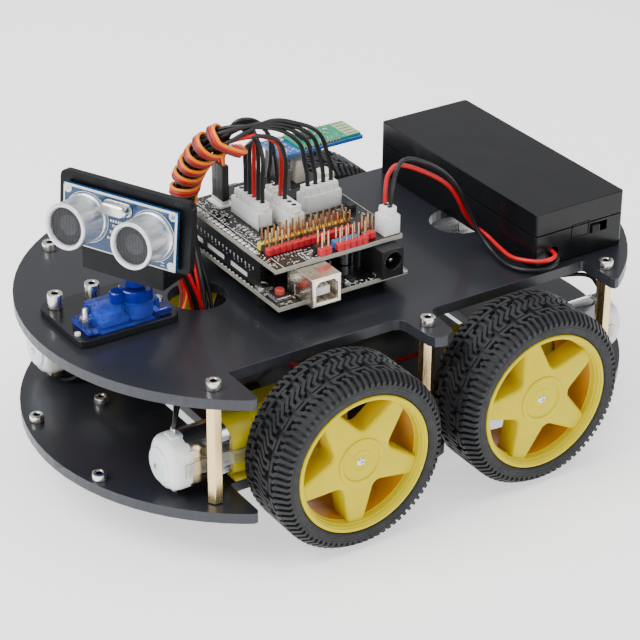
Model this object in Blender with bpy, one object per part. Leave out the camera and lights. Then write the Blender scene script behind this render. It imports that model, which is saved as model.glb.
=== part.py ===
"""Four wheel robot chassis: two acrylic decks on brass standoffs, four geared
motors with wheels, a controller board with its input/output shield, a boxed
pair of battery cells and a distance sensor that pans on a micro servo.

Frame: +Z up, the robot drives towards -Y, its left side is +X. The origin is
on the ground, in the middle of the footprint. Lengths below are millimetres.
"""
import math
import bpy
import bmesh
from mathutils import Vector, Matrix

for _o in list(bpy.data.objects):
    bpy.data.objects.remove(_o, do_unlink=True)

MM = 0.001
GAP = 0.35                      # running clearance between touching pieces

# ---------------------------------------------------------------- decks
DECK_T = 4.0
DECK_LOW_TOP = 21.2
STANDOFF_L = 40.0
DECK_UP_BOTTOM = DECK_LOW_TOP + STANDOFF_L
DECK_UP_TOP = DECK_UP_BOTTOM + DECK_T      # 65.2
NOSE_R = 84.1                   # radius of the rounded ends
NOSE_CY = 31.7                  # the end arcs are centred at y = -/+ this
WAIST_X = 52.3                  # half width between the wheels
CUT_FRONT_Y = -72.4             # front edge of the front wheel bay
CUT_REAR_Y = 76.8               # rear edge of the rear wheel bay
TAB_Y0 = -2.8                   # middle tab between the wheels
TAB_Y1_UP, TAB_Y1_LOW = 8.0, 6.2
TAB_X = 70.8
CABLE_HOLE_R = 10.7
CABLE_HOLE_FRONT = (1.0, -54.0)
CABLE_HOLE_REAR = (1.5, 57.6)
SCREW_HOLE_R = 1.65
STANDOFFS = {"fl": (58.6, -81.6), "fr": (-58.6, -81.6), "ml": (60.6, 2.2),
             "mr": (-60.6, 2.2), "rl": (60.2, 80.6), "rr": (-60.2, 80.6)}
STANDOFF_AF = 5.0               # across the flats

# ---------------------------------------------------------------- drive
WHEEL_R = 33.5
WHEEL_W = 26.2
WHEEL_X = 69.9                  # centre plane of a wheel
AXLE_Y = {-1: 37.7, 1: 38.5}    # front and rear axles, from the middle
AXLE_Z = WHEEL_R
STAR_ANGLE = {-1: 50.0, 1: 31.4}   # first arm of the star, from straight back
RIM_R = 25.8
BARREL_R = 23.4
HUB_R = 5.6
SHAFT_R = 2.7
SHAFT_FLAT = 1.85
GEAR_T = 18.8                   # gearbox thickness along the axle
GEAR_H = 22.5
GEAR_X = 45.9                   # centre plane of a gearbox
GEAR_END = 11.3                 # axle to the blunt end
GEAR_LEN = 34.4                 # axle to the collar that holds the motor
MOTOR_R = 10.0
MOTOR_FLAT = 7.6
MOTOR_END = 59.0                # axle to the end of the motor

# ---------------------------------------------------------------- controller
UNO_X1 = 34.3
UNO_Y0 = -41.4
UNO_L, UNO_W = 68.58, 53.34
UNO_TOP = 71.7
PCB_T = 1.6
SHIELD_TOP = 84.3
SHIELD_X0, SHIELD_X1 = -35.2, 30.6
SHIELD_Y0, SHIELD_Y1 = -40.3, 11.9

# ---------------------------------------------------------------- battery box
BOX_X = 48.7
BOX_Y0, BOX_Y1 = 57.0, 96.9
BOX_Z0 = DECK_UP_TOP + GAP
BOX_Z1 = 86.9
BOX_SPLIT = 78.0
BOX_WALL = 1.6
CELL_R = 9.1
CELL_L = 65.0
SWITCH_Y, SWITCH_Z = 84.0, 75.2
SWITCH_TRAVEL = 3.6

# ---------------------------------------------------------------- servo, sensor
PAN_X, PAN_Y = 5.6, -80.9
PAN_REST = math.radians(26.0)
SERVO_PLATE = (-18.3, 13.9, -106.8, -67.9)
SERVO_PLATE_T = 2.6
SERVO_W, SERVO_L = 12.2, 22.8
SERVO_CY = -86.4
SERVO_TAB_L = 32.2
SENSOR_W, SENSOR_H = 46.0, 21.0
SENSOR_FWD = 8.4
SENSOR_Z = 104.8
SENSOR_TILT = math.radians(6.4)


# ================================================================ helpers
def material(name, rgb, rough, metal=0.0, alpha=1.0):
    m = bpy.data.materials.get(name)
    if m:
        return m
    m = bpy.data.materials.new(name)
    m.use_nodes = True
    b = m.node_tree.nodes["Principled BSDF"]
    b.inputs["Base Color"].default_value = (*rgb, 1.0)
    b.inputs["Roughness"].default_value = rough
    b.inputs["Metallic"].default_value = metal
    b.inputs["Alpha"].default_value = alpha
    m.diffuse_color = (*rgb, 1.0)
    return m


COLOURS = {
    "acrylic": ((0.012, 0.013, 0.018), 0.35, 0.0),
    "brass": ((0.80, 0.62, 0.30), 0.30, 1.0),
    "yellow": ((0.90, 0.70, 0.02), 0.45, 0.0),
    "steel": ((0.62, 0.62, 0.63), 0.30, 1.0),
    "white": ((0.85, 0.85, 0.83), 0.50, 0.0),
    "tyre": ((0.020, 0.021, 0.024), 0.75, 0.0),
    "black": ((0.015, 0.015, 0.016), 0.50, 0.0),
    "board": ((0.012, 0.014, 0.013), 0.40, 0.0),
    "blue": ((0.02, 0.08, 0.60), 0.25, 0.0),
    "sensor_blue": ((0.01, 0.12, 0.35), 0.40, 0.0),
    "green": ((0.02, 0.30, 0.16), 0.40, 0.0),
    "red": ((0.60, 0.02, 0.02), 0.45, 0.0),
    "cell": ((0.05, 0.30, 0.20), 0.40, 0.0),
}


def make(name, bm, colour, origin=(0.0, 0.0, 0.0), smooth=0.0):
    """Turns a bmesh in world millimetres into a named object with its origin given."""
    bmesh.ops.remove_doubles(bm, verts=bm.verts[:], dist=1e-5)
    bmesh.ops.recalc_face_normals(bm, faces=bm.faces[:])
    o = Vector(origin)
    for v in bm.verts:
        v.co = (v.co - o) * MM
    me = bpy.data.meshes.new(name)
    bm.to_mesh(me)
    bm.free()
    ob = bpy.data.objects.new(name, me)
    bpy.context.scene.collection.objects.link(ob)
    ob.location = o * MM
    rgb, rough, metal = COLOURS[colour]
    me.materials.append(material("mat_" + name, rgb, rough, metal))
    if smooth:
        me.shade_smooth()
        me.set_sharp_from_angle(angle=math.radians(smooth))
    return ob


def add_box(bm, x0, x1, y0, y1, z0, z1):
    m = Matrix.Translation(((x0 + x1) / 2, (y0 + y1) / 2, (z0 + z1) / 2)) @ \
        Matrix.Diagonal((x1 - x0, y1 - y0, z1 - z0, 1.0))
    return bmesh.ops.create_cube(bm, size=1.0, matrix=m)["verts"]


def add_prism(bm, pts, lo, hi, axis="z"):
    """Extrudes a closed outline between two levels of an axis."""
    def place(a, b, c):
        if axis == "z":
            return (a, b, c)
        if axis == "x":
            return (c, a, b)
        return (a, c, b)
    low = [bm.verts.new(place(a, b, lo)) for a, b in pts]
    high = [bm.verts.new(place(a, b, hi)) for a, b in pts]
    n = len(pts)
    out = [bm.faces.new(low[::-1]), bm.faces.new(high)]
    for i in range(n):
        j = (i + 1) % n
        out.append(bm.faces.new((low[i], low[j], high[j], high[i])))
    return low + high


def add_lathe(bm, profile, n, axis="z", centre=(0.0, 0.0, 0.0), phase=0.0):
    """Revolves a profile of (along, radius) pairs. Ends at radius 0 close it; a
    profile whose first and last radii are not 0 is taken as a closed ring."""
    c = Vector(centre)
    ring = profile[0][1] > 1e-9

    def pos(a, r, t):
        u, v = r * math.cos(t), r * math.sin(t)
        if axis == "z":
            return c + Vector((u, v, a))
        if axis == "x":
            return c + Vector((a, u, v))
        return c + Vector((v, a, u))
    cols = []
    for a, r in profile:
        if r < 1e-9:
            cols.append([bm.verts.new(pos(a, 0.0, 0.0))] * n)
        else:
            cols.append([bm.verts.new(pos(a, r, phase + 2 * math.pi * k / n)) for k in range(n)])
    m = len(profile)
    for i in range(m if ring else m - 1):
        p, q = cols[i], cols[(i + 1) % m]
        for k in range(n):
            j = (k + 1) % n
            vs = []
            for v in (p[k], p[j], q[j], q[k]):
                if v not in vs:
                    vs.append(v)
            if len(vs) > 2:
                bm.faces.new(vs)


def cyl_profile(a0, a1, r, cham=0.0):
    if cham:
        return [(a0, 0.0), (a0, r - cham), (a0 + cham, r), (a1 - cham, r), (a1, r - cham), (a1, 0.0)]
    return [(a0, 0.0), (a0, r), (a1, r), (a1, 0.0)]


def round_outline(corners, seg=4):
    """corners: (x, y, radius). Returns the outline with every corner rounded."""
    out = []
    n = len(corners)
    for i in range(n):
        x, y, r = corners[i]
        p = Vector((x, y))
        if r <= 0.0:
            out.append((x, y))
            continue
        a = (Vector(corners[i - 1][:2]) - p).normalized()
        b = (Vector(corners[(i + 1) % n][:2]) - p).normalized()
        half = a.angle(b) / 2.0
        d = r / math.tan(half)
        c = p + (a + b).normalized() * (r / math.sin(half))
        t0, t1 = p + a * d - c, p + b * d - c
        ang0 = math.atan2(t0.y, t0.x)
        ang1 = math.atan2(t1.y, t1.x)
        da = (ang1 - ang0 + math.pi) % (2 * math.pi) - math.pi
        for k in range(seg + 1):
            t = ang0 + da * k / seg
            out.append((c.x + r * math.cos(t), c.y + r * math.sin(t)))
    return out


def rounded_rect(x0, x1, y0, y1, r, seg=4):
    return round_outline([(x0, y0, r), (x1, y0, r), (x1, y1, r), (x0, y1, r)], seg)


CUTTERS = bpy.data.collections.new("cutters")
bpy.context.scene.collection.children.link(CUTTERS)


def tool_object(name, bm):
    bmesh.ops.recalc_face_normals(bm, faces=bm.faces[:])
    for v in bm.verts:
        v.co = v.co * MM
    me = bpy.data.meshes.new(name)
    bm.to_mesh(me)
    bm.free()
    ob = bpy.data.objects.new(name, me)
    CUTTERS.objects.link(ob)
    ob.hide_render = True
    ob.display_type = "WIRE"
    return ob


def boolean(ob, bm, operation, label):
    cutter = tool_object(ob.name + "_" + label, bm)
    mod = ob.modifiers.new(label, "BOOLEAN")
    mod.operation = operation
    mod.solver = "EXACT"
    mod.object = cutter
    return mod


# ================================================================ decks
def deck_outline(tab_y1):
    half = []
    # rounded nose, from the middle to the tip in front of the wheel bay
    tip = math.asin((-CUT_FRONT_Y - NOSE_CY) / NOSE_R)
    n = 14
    for k in range(n):
        t = math.pi / 2 - (math.pi / 2 - tip) * k / n
        half.append((NOSE_R * math.cos(t), -NOSE_CY - NOSE_R * math.sin(t), 0.0))
    half.append((NOSE_R * math.cos(tip), CUT_FRONT_Y, 1.6))
    half.append((WAIST_X, CUT_FRONT_Y, 1.2))
    half.append((WAIST_X, TAB_Y0 - 0.6, 3.5))
    half.append((TAB_X, TAB_Y0 + 0.7, 4.0))
    half.append((TAB_X, tab_y1 - 0.7, 4.0))
    half.append((WAIST_X, tab_y1 + 0.6, 3.5))
    half.append((WAIST_X, CUT_REAR_Y, 1.2))
    tip = math.asin((CUT_REAR_Y - NOSE_CY) / NOSE_R)
    half.append((NOSE_R * math.cos(tip), CUT_REAR_Y, 1.6))
    for k in range(1, n + 1):
        t = tip + (math.pi / 2 - tip) * k / n
        half.append((NOSE_R * math.cos(t), NOSE_CY + NOSE_R * math.sin(t), 0.0))
    other = [(-x, y, r) for x, y, r in half[1:-1]][::-1]
    return round_outline(half + other, 2)


def deck(name, z0, extra, tab_y1):
    bm = bmesh.new()
    add_prism(bm, deck_outline(tab_y1), z0, z0 + DECK_T)
    ob = make(name, bm, "acrylic", smooth=25)
    cut = bmesh.new()
    for x, y in STANDOFFS.values():
        add_lathe(cut, cyl_profile(z0 - 1, z0 + DECK_T + 1, SCREW_HOLE_R), 8, centre=(x, y, 0))
    extra(cut, z0)
    boolean(ob, cut, "DIFFERENCE", "holes")
    return ob


def upper_holes(cut, z0):
    for x, y in (CABLE_HOLE_FRONT, CABLE_HOLE_REAR):
        add_lathe(cut, cyl_profile(z0 - 1, z0 + DECK_T + 1, CABLE_HOLE_R), 28, centre=(x, y, 0))
    w, l = SERVO_W / 2 + 0.5, SERVO_L / 2 + 0.5
    add_box(cut, PAN_X - w, PAN_X + w, SERVO_CY - l, SERVO_CY + l, z0 - 1, z0 + DECK_T + 1)


def lower_holes(cut, z0):
    # the two long slots between the motors, for cable ties and sensors
    for y in (-62.0, 62.0):
        add_prism(cut, rounded_rect(-15.0, 15.0, y - 3.0, y + 3.0, 2.9, 4), z0 - 1, z0 + DECK_T + 1)


deck("upper_deck", DECK_UP_BOTTOM, upper_holes, TAB_Y1_UP)
deck("lower_deck", DECK_LOW_TOP - DECK_T, lower_holes, TAB_Y1_LOW)

# ================================================================ standoffs
for key, (sx, sy) in STANDOFFS.items():
    bm = bmesh.new()
    r = STANDOFF_AF / math.sqrt(3.0)
    z0, z1 = DECK_LOW_TOP + 0.02 + 0.13, DECK_UP_BOTTOM - 0.15
    add_lathe(bm, [(z0, 1.25), (z0, r - 0.35), (z0 + 0.35, r), (z1 - 0.35, r), (z1, r - 0.35), (z1, 1.25)],
              6, centre=(sx, sy, 0), phase=math.radians(0 if key[0] == "m" else 30))
    make("standoff_" + key, bm, "brass")


# ================================================================ drive units
CORNERS = {"fl": (1, -1), "fr": (-1, -1), "rl": (1, 1), "rr": (-1, 1)}


def mirror_y(pts, ay, s):
    """Outline points given as (distance from the axle away from the middle, z)."""
    out = [(ay + s * d, z) for d, z in pts]
    return out if s > 0 else out[::-1]


for key, (sx, sy) in CORNERS.items():
    ay = sy * AXLE_Y[sy]
    # gearbox: a block with a rounded blunt end and a round collar for the motor
    gx0, gx1 = GEAR_X - GEAR_T / 2, GEAR_X + GEAR_T / 2
    lo, hi = sorted((sx * gx0, sx * gx1))
    h = GEAR_H / 2
    pts = [(-GEAR_END, -h, 3.0), (24.5, -h, 1.5), (24.5, h, 1.5), (-GEAR_END, h, 3.0)]
    pts = [(ay + sy * d, AXLE_Z + z, r) for d, z, r in pts]
    bm = bmesh.new()
    add_prism(bm, round_outline(pts, 3), lo, hi, axis="x")
    gear = make("gearbox_" + key, bm, "yellow", smooth=35)
    bm = bmesh.new()
    a0, a1 = sorted((ay + sy * 22.0, ay + sy * GEAR_LEN))
    k = 1 if sy > 0 else -1
    big, small = 11.0, 10.6
    prof = [(ay + sy * 20.0, 0.0), (ay + sy * 20.0, big - 3), (ay + sy * 26.0, big), (ay + sy * GEAR_LEN, small),
            (ay + sy * GEAR_LEN, 0.0)]
    add_lathe(bm, prof, 20, axis="y", centre=(sx * GEAR_X, 0, AXLE_Z), phase=math.pi / 20)
    for v in bm.verts:           # the collar is as flat sided as the gearbox
        v.co.x = max(sx * GEAR_X - 8.9, min(sx * GEAR_X + 8.9, v.co.x))
    boolean(gear, bm, "UNION", "collar")
    bm = bmesh.new()
    add_lathe(bm, cyl_profile(lo - 2, hi + 2, SHAFT_R + GAP), 16, axis="x", centre=(0, ay, AXLE_Z))
    for d in (-8.7, 8.7):
        add_lathe(bm, cyl_profile(lo - 2, hi + 2, 1.5), 8, axis="x", centre=(0, ay + sy * 20.6, AXLE_Z + d))
    boolean(gear, bm, "DIFFERENCE", "bores")

    # motor: flat sided can with its crimped end cap and terminals end
    bm = bmesh.new()
    m0, m1 = GEAR_LEN + GAP, MOTOR_END
    cap = m1 - 8.6
    prof = [(ay + sy * m0, 0.0), (ay + sy * m0, MOTOR_R), (ay + sy * cap, MOTOR_R),
            (ay + sy * cap, MOTOR_R + 0.4), (ay + sy * (m1 - 3.4), MOTOR_R + 0.2),
            (ay + sy * (m1 - 1.0), MOTOR_R - 2.6), (ay + sy * m1, 4.6), (ay + sy * m1, 0.0)]
    add_lathe(bm, prof, 20, axis="y", centre=(sx * GEAR_X, 0, AXLE_Z), phase=math.pi / 20)
    for v in bm.verts:
        lim = MOTOR_FLAT + (0.4 if abs(v.co.y) > abs(ay) + cap - 0.01 else 0.0)
        v.co.x = max(sx * GEAR_X - lim, min(sx * GEAR_X + lim, v.co.x))
    make("motor_" + key, bm, "steel", smooth=35)

    # bracket: an angle that holds the gearbox's inner face to the lower deck
    bm = bmesh.new()
    inner = GEAR_X - GEAR_T / 2 - GAP
    prof = [(inner, DECK_LOW_TOP + GAP), (inner, AXLE_Z + 12.0), (inner - 3.0, AXLE_Z + 12.0),
            (inner - 3.0, DECK_LOW_TOP + GAP + 3.0), (inner - 13.0, DECK_LOW_TOP + GAP + 3.0),
            (inner - 13.0, DECK_LOW_TOP + GAP)]
    prof = [(sx * x, z) for x, z in prof]
    b0, b1 = sorted((ay + sy * 12.5, ay + sy * 28.5))
    add_prism(bm, prof, b0, b1, axis="y")
    br = make("motor_bracket_" + key, bm, "black")
    bm = bmesh.new()
    for d in (-8.7, 8.7):
        add_lathe(bm, cyl_profile(min(sx * (inner - 5), sx * (inner + 2)), max(sx * (inner - 5), sx * (inner + 2)), 1.6),
                  8, axis="x", centre=(0, ay + sy * 20.6, AXLE_Z + d))
    boolean(br, bm, "DIFFERENCE", "bolt_holes")

    # output shaft: round with two flats, right through the gearbox into the hub
    axis_point = (sx * WHEEL_X, ay, AXLE_Z)
    bm = bmesh.new()
    x0, x1 = sx * (GEAR_X - GEAR_T / 2 - 0.1 + 0.1), sx * 73.0
    add_lathe(bm, cyl_profile(min(x0, x1), max(x0, x1), SHAFT_R, 0.4), 16, axis="x", centre=(0, ay, AXLE_Z),
              phase=math.pi / 16)
    for v in bm.verts:
        if abs(v.co.x) > GEAR_X + GEAR_T / 2 - 0.2 and abs(v.co.z - AXLE_Z) > SHAFT_FLAT:
            v.co.z = AXLE_Z + math.copysign(SHAFT_FLAT, v.co.z - AXLE_Z)
    make("output_shaft_" + key, bm, "white", origin=axis_point, smooth=35)

    # rim: barrel with a lip, a five armed star and a hub
    bm = bmesh.new()
    hw = WHEEL_W / 2 - 0.5

    def along(a):
        return sx * (WHEEL_X + a)
    prof = [(along(hw), RIM_R), (along(hw), BARREL_R + 0.5), (along(hw - 1.5), BARREL_R), (along(-hw), BARREL_R + 0.4),
            (along(-hw), RIM_R)]
    add_lathe(bm, prof, 36, axis="x", centre=(0, ay, AXLE_Z))
    rim = make("wheel_rim_" + key, bm, "yellow", origin=axis_point, smooth=35)
    bm = bmesh.new()
    star = []
    for i in range(5):
        t = math.radians(STAR_ANGLE[sy] + 72 * i)
        for r, dt in ((24.3, -7.5), (24.3, 7.5), (9.6, 36.0)):
            a = t + math.radians(dt)
            star.append((ay + r * math.cos(a), AXLE_Z + r * math.sin(a)))
    s0, s1 = sorted((along(5.2), along(9.2)))
    add_prism(bm, star, s0, s1, axis="x")
    boolean(rim, bm, "UNION", "star")
    bm = bmesh.new()
    h0, h1 = sorted((along(-12.4), along(10.8)))
    add_lathe(bm, cyl_profile(h0, h1, HUB_R, 0.5), 20, axis="x", centre=(0, ay, AXLE_Z))
    boolean(rim, bm, "UNION", "hub")
    bm = bmesh.new()
    c0, c1 = sorted((along(-16.0), along(3.9)))
    add_lathe(bm, cyl_profile(c0, c1, SHAFT_R + GAP), 16, axis="x", centre=(0, ay, AXLE_Z), phase=math.pi / 16)
    boolean(rim, bm, "DIFFERENCE", "bore")

    # tyre: rounded shoulders, straight side walls and a bead on the barrel
    bm = bmesh.new()
    w = WHEEL_W / 2
    prof = [(-w + 0.5, RIM_R + GAP), (-w, RIM_R + 2.6), (-w + 2.0, WHEEL_R - 1.3), (-w + 4.6, WHEEL_R),
            (w - 4.6, WHEEL_R), (w - 2.0, WHEEL_R - 1.3), (w, RIM_R + 2.6), (w - 0.5, RIM_R + GAP)]
    add_lathe(bm, [(along(a), r) for a, r in prof], 36, axis="x", centre=(0, ay, AXLE_Z))
    make("tyre_" + key, bm, "tyre", origin=axis_point, smooth=40)


# ================================================================ controller
def uno(x, y):
    """Board coordinates, from the socket end and the analogue edge."""
    return (UNO_X1 - x, UNO_Y0 + UNO_W - y)


bm = bmesh.new()
outline = [(0, 0), (66.04, 0), (66.04, 2.54), (68.58, 5.08), (68.58, 37.85), (66.04, 40.39), (66.04, 51.82),
           (64.52, 53.34), (0, 53.34)]
add_prism(bm, [uno(*q) for q in outline], UNO_TOP - PCB_T, UNO_TOP)
board = make("controller_board", bm, "board")
bm = bmesh.new()
for q in ((15.3, 50.7), (66.04, 35.5), (66.04, 7.6), (14.0, 2.5)):
    x, y = uno(*q)
    add_lathe(bm, cyl_profile(UNO_TOP - 4, UNO_TOP + 2, 1.6), 12, centre=(x, y, 0))
boolean(board, bm, "DIFFERENCE", "mounting_holes")

# socket for the data cable
USB_C = UNO_Y0 + 15.2
bm = bmesh.new()
add_box(bm, 24.8, 41.0, USB_C - 6.0, USB_C + 6.0, UNO_TOP + 0.1, UNO_TOP + 10.9)
usb = make("usb_socket", bm, "steel")
bm = bmesh.new()
add_prism(bm, [(USB_C - 4.2, UNO_TOP + 1.6), (USB_C + 4.2, UNO_TOP + 1.6), (USB_C + 4.2, UNO_TOP + 7.4),
               (USB_C + 2.6, UNO_TOP + 9.3), (USB_C - 2.6, UNO_TOP + 9.3), (USB_C - 4.2, UNO_TOP + 7.4)],
          31.0, 43.0, axis="x")
boolean(usb, bm, "DIFFERENCE", "mouth")

# round power jack
JACK_C = UNO_Y0 + UNO_W - 7.7
bm = bmesh.new()
add_box(bm, 22.4, 36.2, JACK_C - 4.5, JACK_C + 4.5, UNO_TOP + 0.1, UNO_TOP + 10.8)
jack = make("power_jack", bm, "black")
bm = bmesh.new()
add_lathe(bm, cyl_profile(26.4, 38.0, 3.25), 20, axis="x", centre=(0, JACK_C, UNO_TOP + 6.4))
boolean(jack, bm, "DIFFERENCE", "bore")

# reset button
RESET = (27.8, -37.0)
bm = bmesh.new()
add_lathe(bm, cyl_profile(UNO_TOP + 0.5, UNO_TOP + 3.6, 1.7, 0.25), 16, centre=(RESET[0], RESET[1], 0))
make("reset_button", bm, "red", origin=(RESET[0], RESET[1], UNO_TOP + 0.5), smooth=40)

# the two socket strips between the boards
for name, y, xa, xb in (("digital_header", UNO_Y0 + 2.54, -31.0, 16.7), ("power_header", UNO_Y0 + UNO_W - 2.54, -31.0, 6.4)):
    bm = bmesh.new()
    add_box(bm, xa, xb, y - 1.25, y + 1.25, UNO_TOP + 0.15, SHIELD_TOP - PCB_T - 0.15)
    make(name, bm, "black")

# ================================================================ shield
bm = bmesh.new()
add_prism(bm, [(SHIELD_X1, SHIELD_Y0), (SHIELD_X1, SHIELD_Y1), (-31.7, SHIELD_Y1), (-31.7, 9.4), (SHIELD_X0, 6.8),
               (SHIELD_X0, -26.0), (-32.6, -28.5), (-32.6, SHIELD_Y0)], SHIELD_TOP - PCB_T, SHIELD_TOP)
make("shield_board", bm, "board")

# signal header: a strip of three rows of upright pins
HDR_X0, HDR_X1, HDR_Y0 = 13.2, 20.82, -37.3
PITCH = 2.54
HDR_N = 14
bm = bmesh.new()
z0, z1 = SHIELD_TOP + 0.15, SHIELD_TOP + 2.65
grid = [[bm.verts.new((HDR_X0 + PITCH * i, HDR_Y0 + PITCH * j, z1)) for j in range(HDR_N + 1)] for i in range(4)]
tops = []
for i in range(3):
    for j in range(HDR_N):
        tops.append(bm.faces.new((grid[i][j], grid[i + 1][j], grid[i + 1][j + 1], grid[i][j + 1])))
edges = [e for e in bm.edges if e.is_boundary]
low = bmesh.ops.extrude_edge_only(bm, edges=edges)
verts = [g for g in low["geom"] if isinstance(g, bmesh.types.BMVert)]
for v in verts:
    v.co.z = z0
bottom = [e for e in bm.edges if e.is_boundary]
bmesh.ops.contextual_create(bm, geom=bottom)
bmesh.ops.inset_individual(bm, faces=tops, thickness=(PITCH - 0.64) / 2)
pins = bmesh.ops.extrude_discrete_faces(bm, faces=tops)["faces"]
for f in pins:
    for v in f.verts:
        v.co.z = SHIELD_TOP + 8.6
make("signal_header", bm, "black")


def connector(name, x0, x1, y0, y1, z0, z1, key, colour="white", step=1.0):
    """Wire housing: a shrouded base with a slightly smaller plug standing in it."""
    bm = bmesh.new()
    add_box(bm, x0, x1, y0, y1, z0, z0 + key)
    o = make(name, bm, colour)
    bm = bmesh.new()
    add_box(bm, x0 + step, x1 - step, y0 + step, y1 - step, z0 + 0.5, z1)
    boolean(o, bm, "UNION", "plug")
    return o


ST = SHIELD_TOP + 0.15
connector("motor_connector_a", -16.4, 2.4, -29.9, -23.6, ST, ST + 9.6, 7.0, step=0.7)
connector("motor_connector_c", -6.4, 0.2, -8.6, 6.4, ST, ST + 9.6, 7.0, step=0.7)
connector("battery_plug", 23.4, 29.6, 5.0, 11.6, ST, ST + 10.2, 7.2, step=0.6)

# three way servo plug standing on its pin base
bm = bmesh.new()
add_box(bm, -27.7, -20.1, -31.0, -28.4, ST, ST + 2.4)
plug = make("servo_plug", bm, "black")
bm = bmesh.new()
add_box(bm, -27.8, -20.0, -31.05, -28.35, ST + 2.0, ST + 16.2)
boolean(plug, bm, "UNION", "housing")

# radio module, upright socket strip below its front end
BT = (-37.6, -22.4, -5.0, 30.7)
BT_Z = 97.6
bm = bmesh.new()
add_box(bm, BT[0], BT[1], BT[2], BT[3], BT_Z - PCB_T, BT_Z)
bt = make("radio_module", bm, "green")
bm = bmesh.new()
add_box(bm, -35.1, -24.9, -4.2, -1.7, ST, BT_Z - 0.6)
boolean(bt, bm, "UNION", "pin_strip")

# ================================================================ battery box
bm = bmesh.new()
add_prism(bm, rounded_rect(-BOX_X, BOX_X, BOX_Y0, BOX_Y1, 1.0, 2), BOX_Z0, BOX_SPLIT)
case = make("battery_case", bm, "black", smooth=30)
w = BOX_WALL
bm = bmesh.new()
add_box(bm, -BOX_X + w, 24.6, BOX_Y0 + w - 0.1, BOX_Y1 - w + 0.1, BOX_Z0 + 1.4, BOX_SPLIT + 2)
add_box(bm, 26.2, BOX_X - w, BOX_Y0 + w, BOX_Y1 - w, BOX_Z0 + 1.4, BOX_SPLIT + 2)
boolean(case, bm, "DIFFERENCE", "compartments")
bm = bmesh.new()
add_box(bm, BOX_X - w - 1, BOX_X + 1, SWITCH_Y - 2.1, SWITCH_Y + SWITCH_TRAVEL + 2.1, SWITCH_Z - 1.9, SWITCH_Z + 1.9)
add_lathe(bm, cyl_profile(BOX_X - w - 1, BOX_X + 1, 2.4), 16, axis="x", centre=(0, 65.2, 70.4))
boolean(case, bm, "DIFFERENCE", "switch_slot_and_lead_hole")

bm = bmesh.new()
add_prism(bm, rounded_rect(-BOX_X, BOX_X, BOX_Y0, BOX_Y1, 1.0, 2), BOX_SPLIT + 0.3, BOX_Z1)
lid = make("battery_lid", bm, "black", origin=(0, (BOX_Y0 + BOX_Y1) / 2, BOX_SPLIT), smooth=30)
bm = bmesh.new()
add_box(bm, -BOX_X + w, BOX_X - w, BOX_Y0 + w - 0.1, BOX_Y1 - w + 0.1, BOX_SPLIT - 2, BOX_Z1 - 1.15)
boolean(lid, bm, "DIFFERENCE", "hollow")

for name, y, flip in (("battery_cell_a", 67.72, 1), ("battery_cell_b", 86.18, -1)):
    bm = bmesh.new()
    c = -10.6
    prof = [(c - CELL_L / 2, 0.0), (c - CELL_L / 2, CELL_R - 0.6), (c - CELL_L / 2 + 0.6, CELL_R),
            (c + CELL_L / 2 - 0.6, CELL_R), (c + CELL_L / 2, CELL_R - 0.6), (c + CELL_L / 2, 4.0),
            (c + CELL_L / 2 + 1.0, 4.0), (c + CELL_L / 2 + 1.0, 0.0)]
    prof = [(c + flip * (a - c), r) for a, r in prof]
    add_lathe(bm, prof, 24, axis="x", centre=(0, y, BOX_Z0 + 1.4 + CELL_R + 0.25))
    make(name, bm, "cell", smooth=40)

bm = bmesh.new()
add_box(bm, BOX_X - w - 2.2, BOX_X - w - 0.3, SWITCH_Y - 2.6, SWITCH_Y + 2.6, SWITCH_Z - 2.6, SWITCH_Z + 2.6)
sw = make("battery_switch", bm, "black", origin=(BOX_X, SWITCH_Y, SWITCH_Z))
bm = bmesh.new()
add_box(bm, BOX_X - w - 1.0, BOX_X + 1.1, SWITCH_Y - 1.7, SWITCH_Y + 1.7, SWITCH_Z - 1.5, SWITCH_Z + 1.5)
cut_sw = boolean(sw, bm, "UNION", "thumb")

# ================================================================ servo
px0, px1, py0, py1 = SERVO_PLATE
PLATE_Z = DECK_UP_TOP + 0.15
PLATE_TOP = PLATE_Z + SERVO_PLATE_T
bm = bmesh.new()
add_prism(bm, rounded_rect(px0, px1, py0, py1, 3.2, 4), PLATE_Z, PLATE_TOP)
plate = make("servo_plate", bm, "acrylic", smooth=30)
bm = bmesh.new()
hw, hl = SERVO_W / 2 + GAP, SERVO_L / 2 + GAP
add_box(bm, PAN_X - hw, PAN_X + hw, SERVO_CY - hl, SERVO_CY + hl, PLATE_Z - 1, PLATE_TOP + 1)
for q in ((-13.3, -102.2), (-13.3, -88.0)):
    add_lathe(bm, cyl_profile(PLATE_Z - 1, PLATE_TOP + 1, SCREW_HOLE_R), 8, centre=(q[0], q[1], 0))
boolean(plate, bm, "DIFFERENCE", "servo_opening")

SV = PLATE_TOP + GAP - 15.9      # bottom of the servo
bm = bmesh.new()
hl, tl = SERVO_L / 2, SERVO_TAB_L / 2
side = [(SERVO_CY - hl, SV), (SERVO_CY + hl, SV), (SERVO_CY + hl, SV + 15.9), (SERVO_CY + tl, SV + 15.9),
        (SERVO_CY + tl, SV + 18.4), (SERVO_CY + hl, SV + 18.4), (SERVO_CY + hl, SV + 22.7),
        (SERVO_CY - hl, SV + 22.7), (SERVO_CY - hl, SV + 18.4), (SERVO_CY - tl, SV + 18.4),
        (SERVO_CY - tl, SV + 15.9), (SERVO_CY - hl, SV + 15.9)]
add_prism(bm, side, PAN_X - SERVO_W / 2, PAN_X + SERVO_W / 2, axis="x")
servo = make("servo_case", bm, "blue", smooth=30)
bm = bmesh.new()
add_lathe(bm, cyl_profile(SV + 22.0, SV + 26.6, 5.85), 24, centre=(PAN_X, PAN_Y, 0))
boolean(servo, bm, "UNION", "turret")
bm = bmesh.new()
add_lathe(bm, cyl_profile(SV + 22.0, SV + 26.5, 2.6), 16, centre=(PAN_X, PAN_Y - 7.2, 0))
boolean(servo, bm, "UNION", "idler_turret")
bm = bmesh.new()
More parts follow.
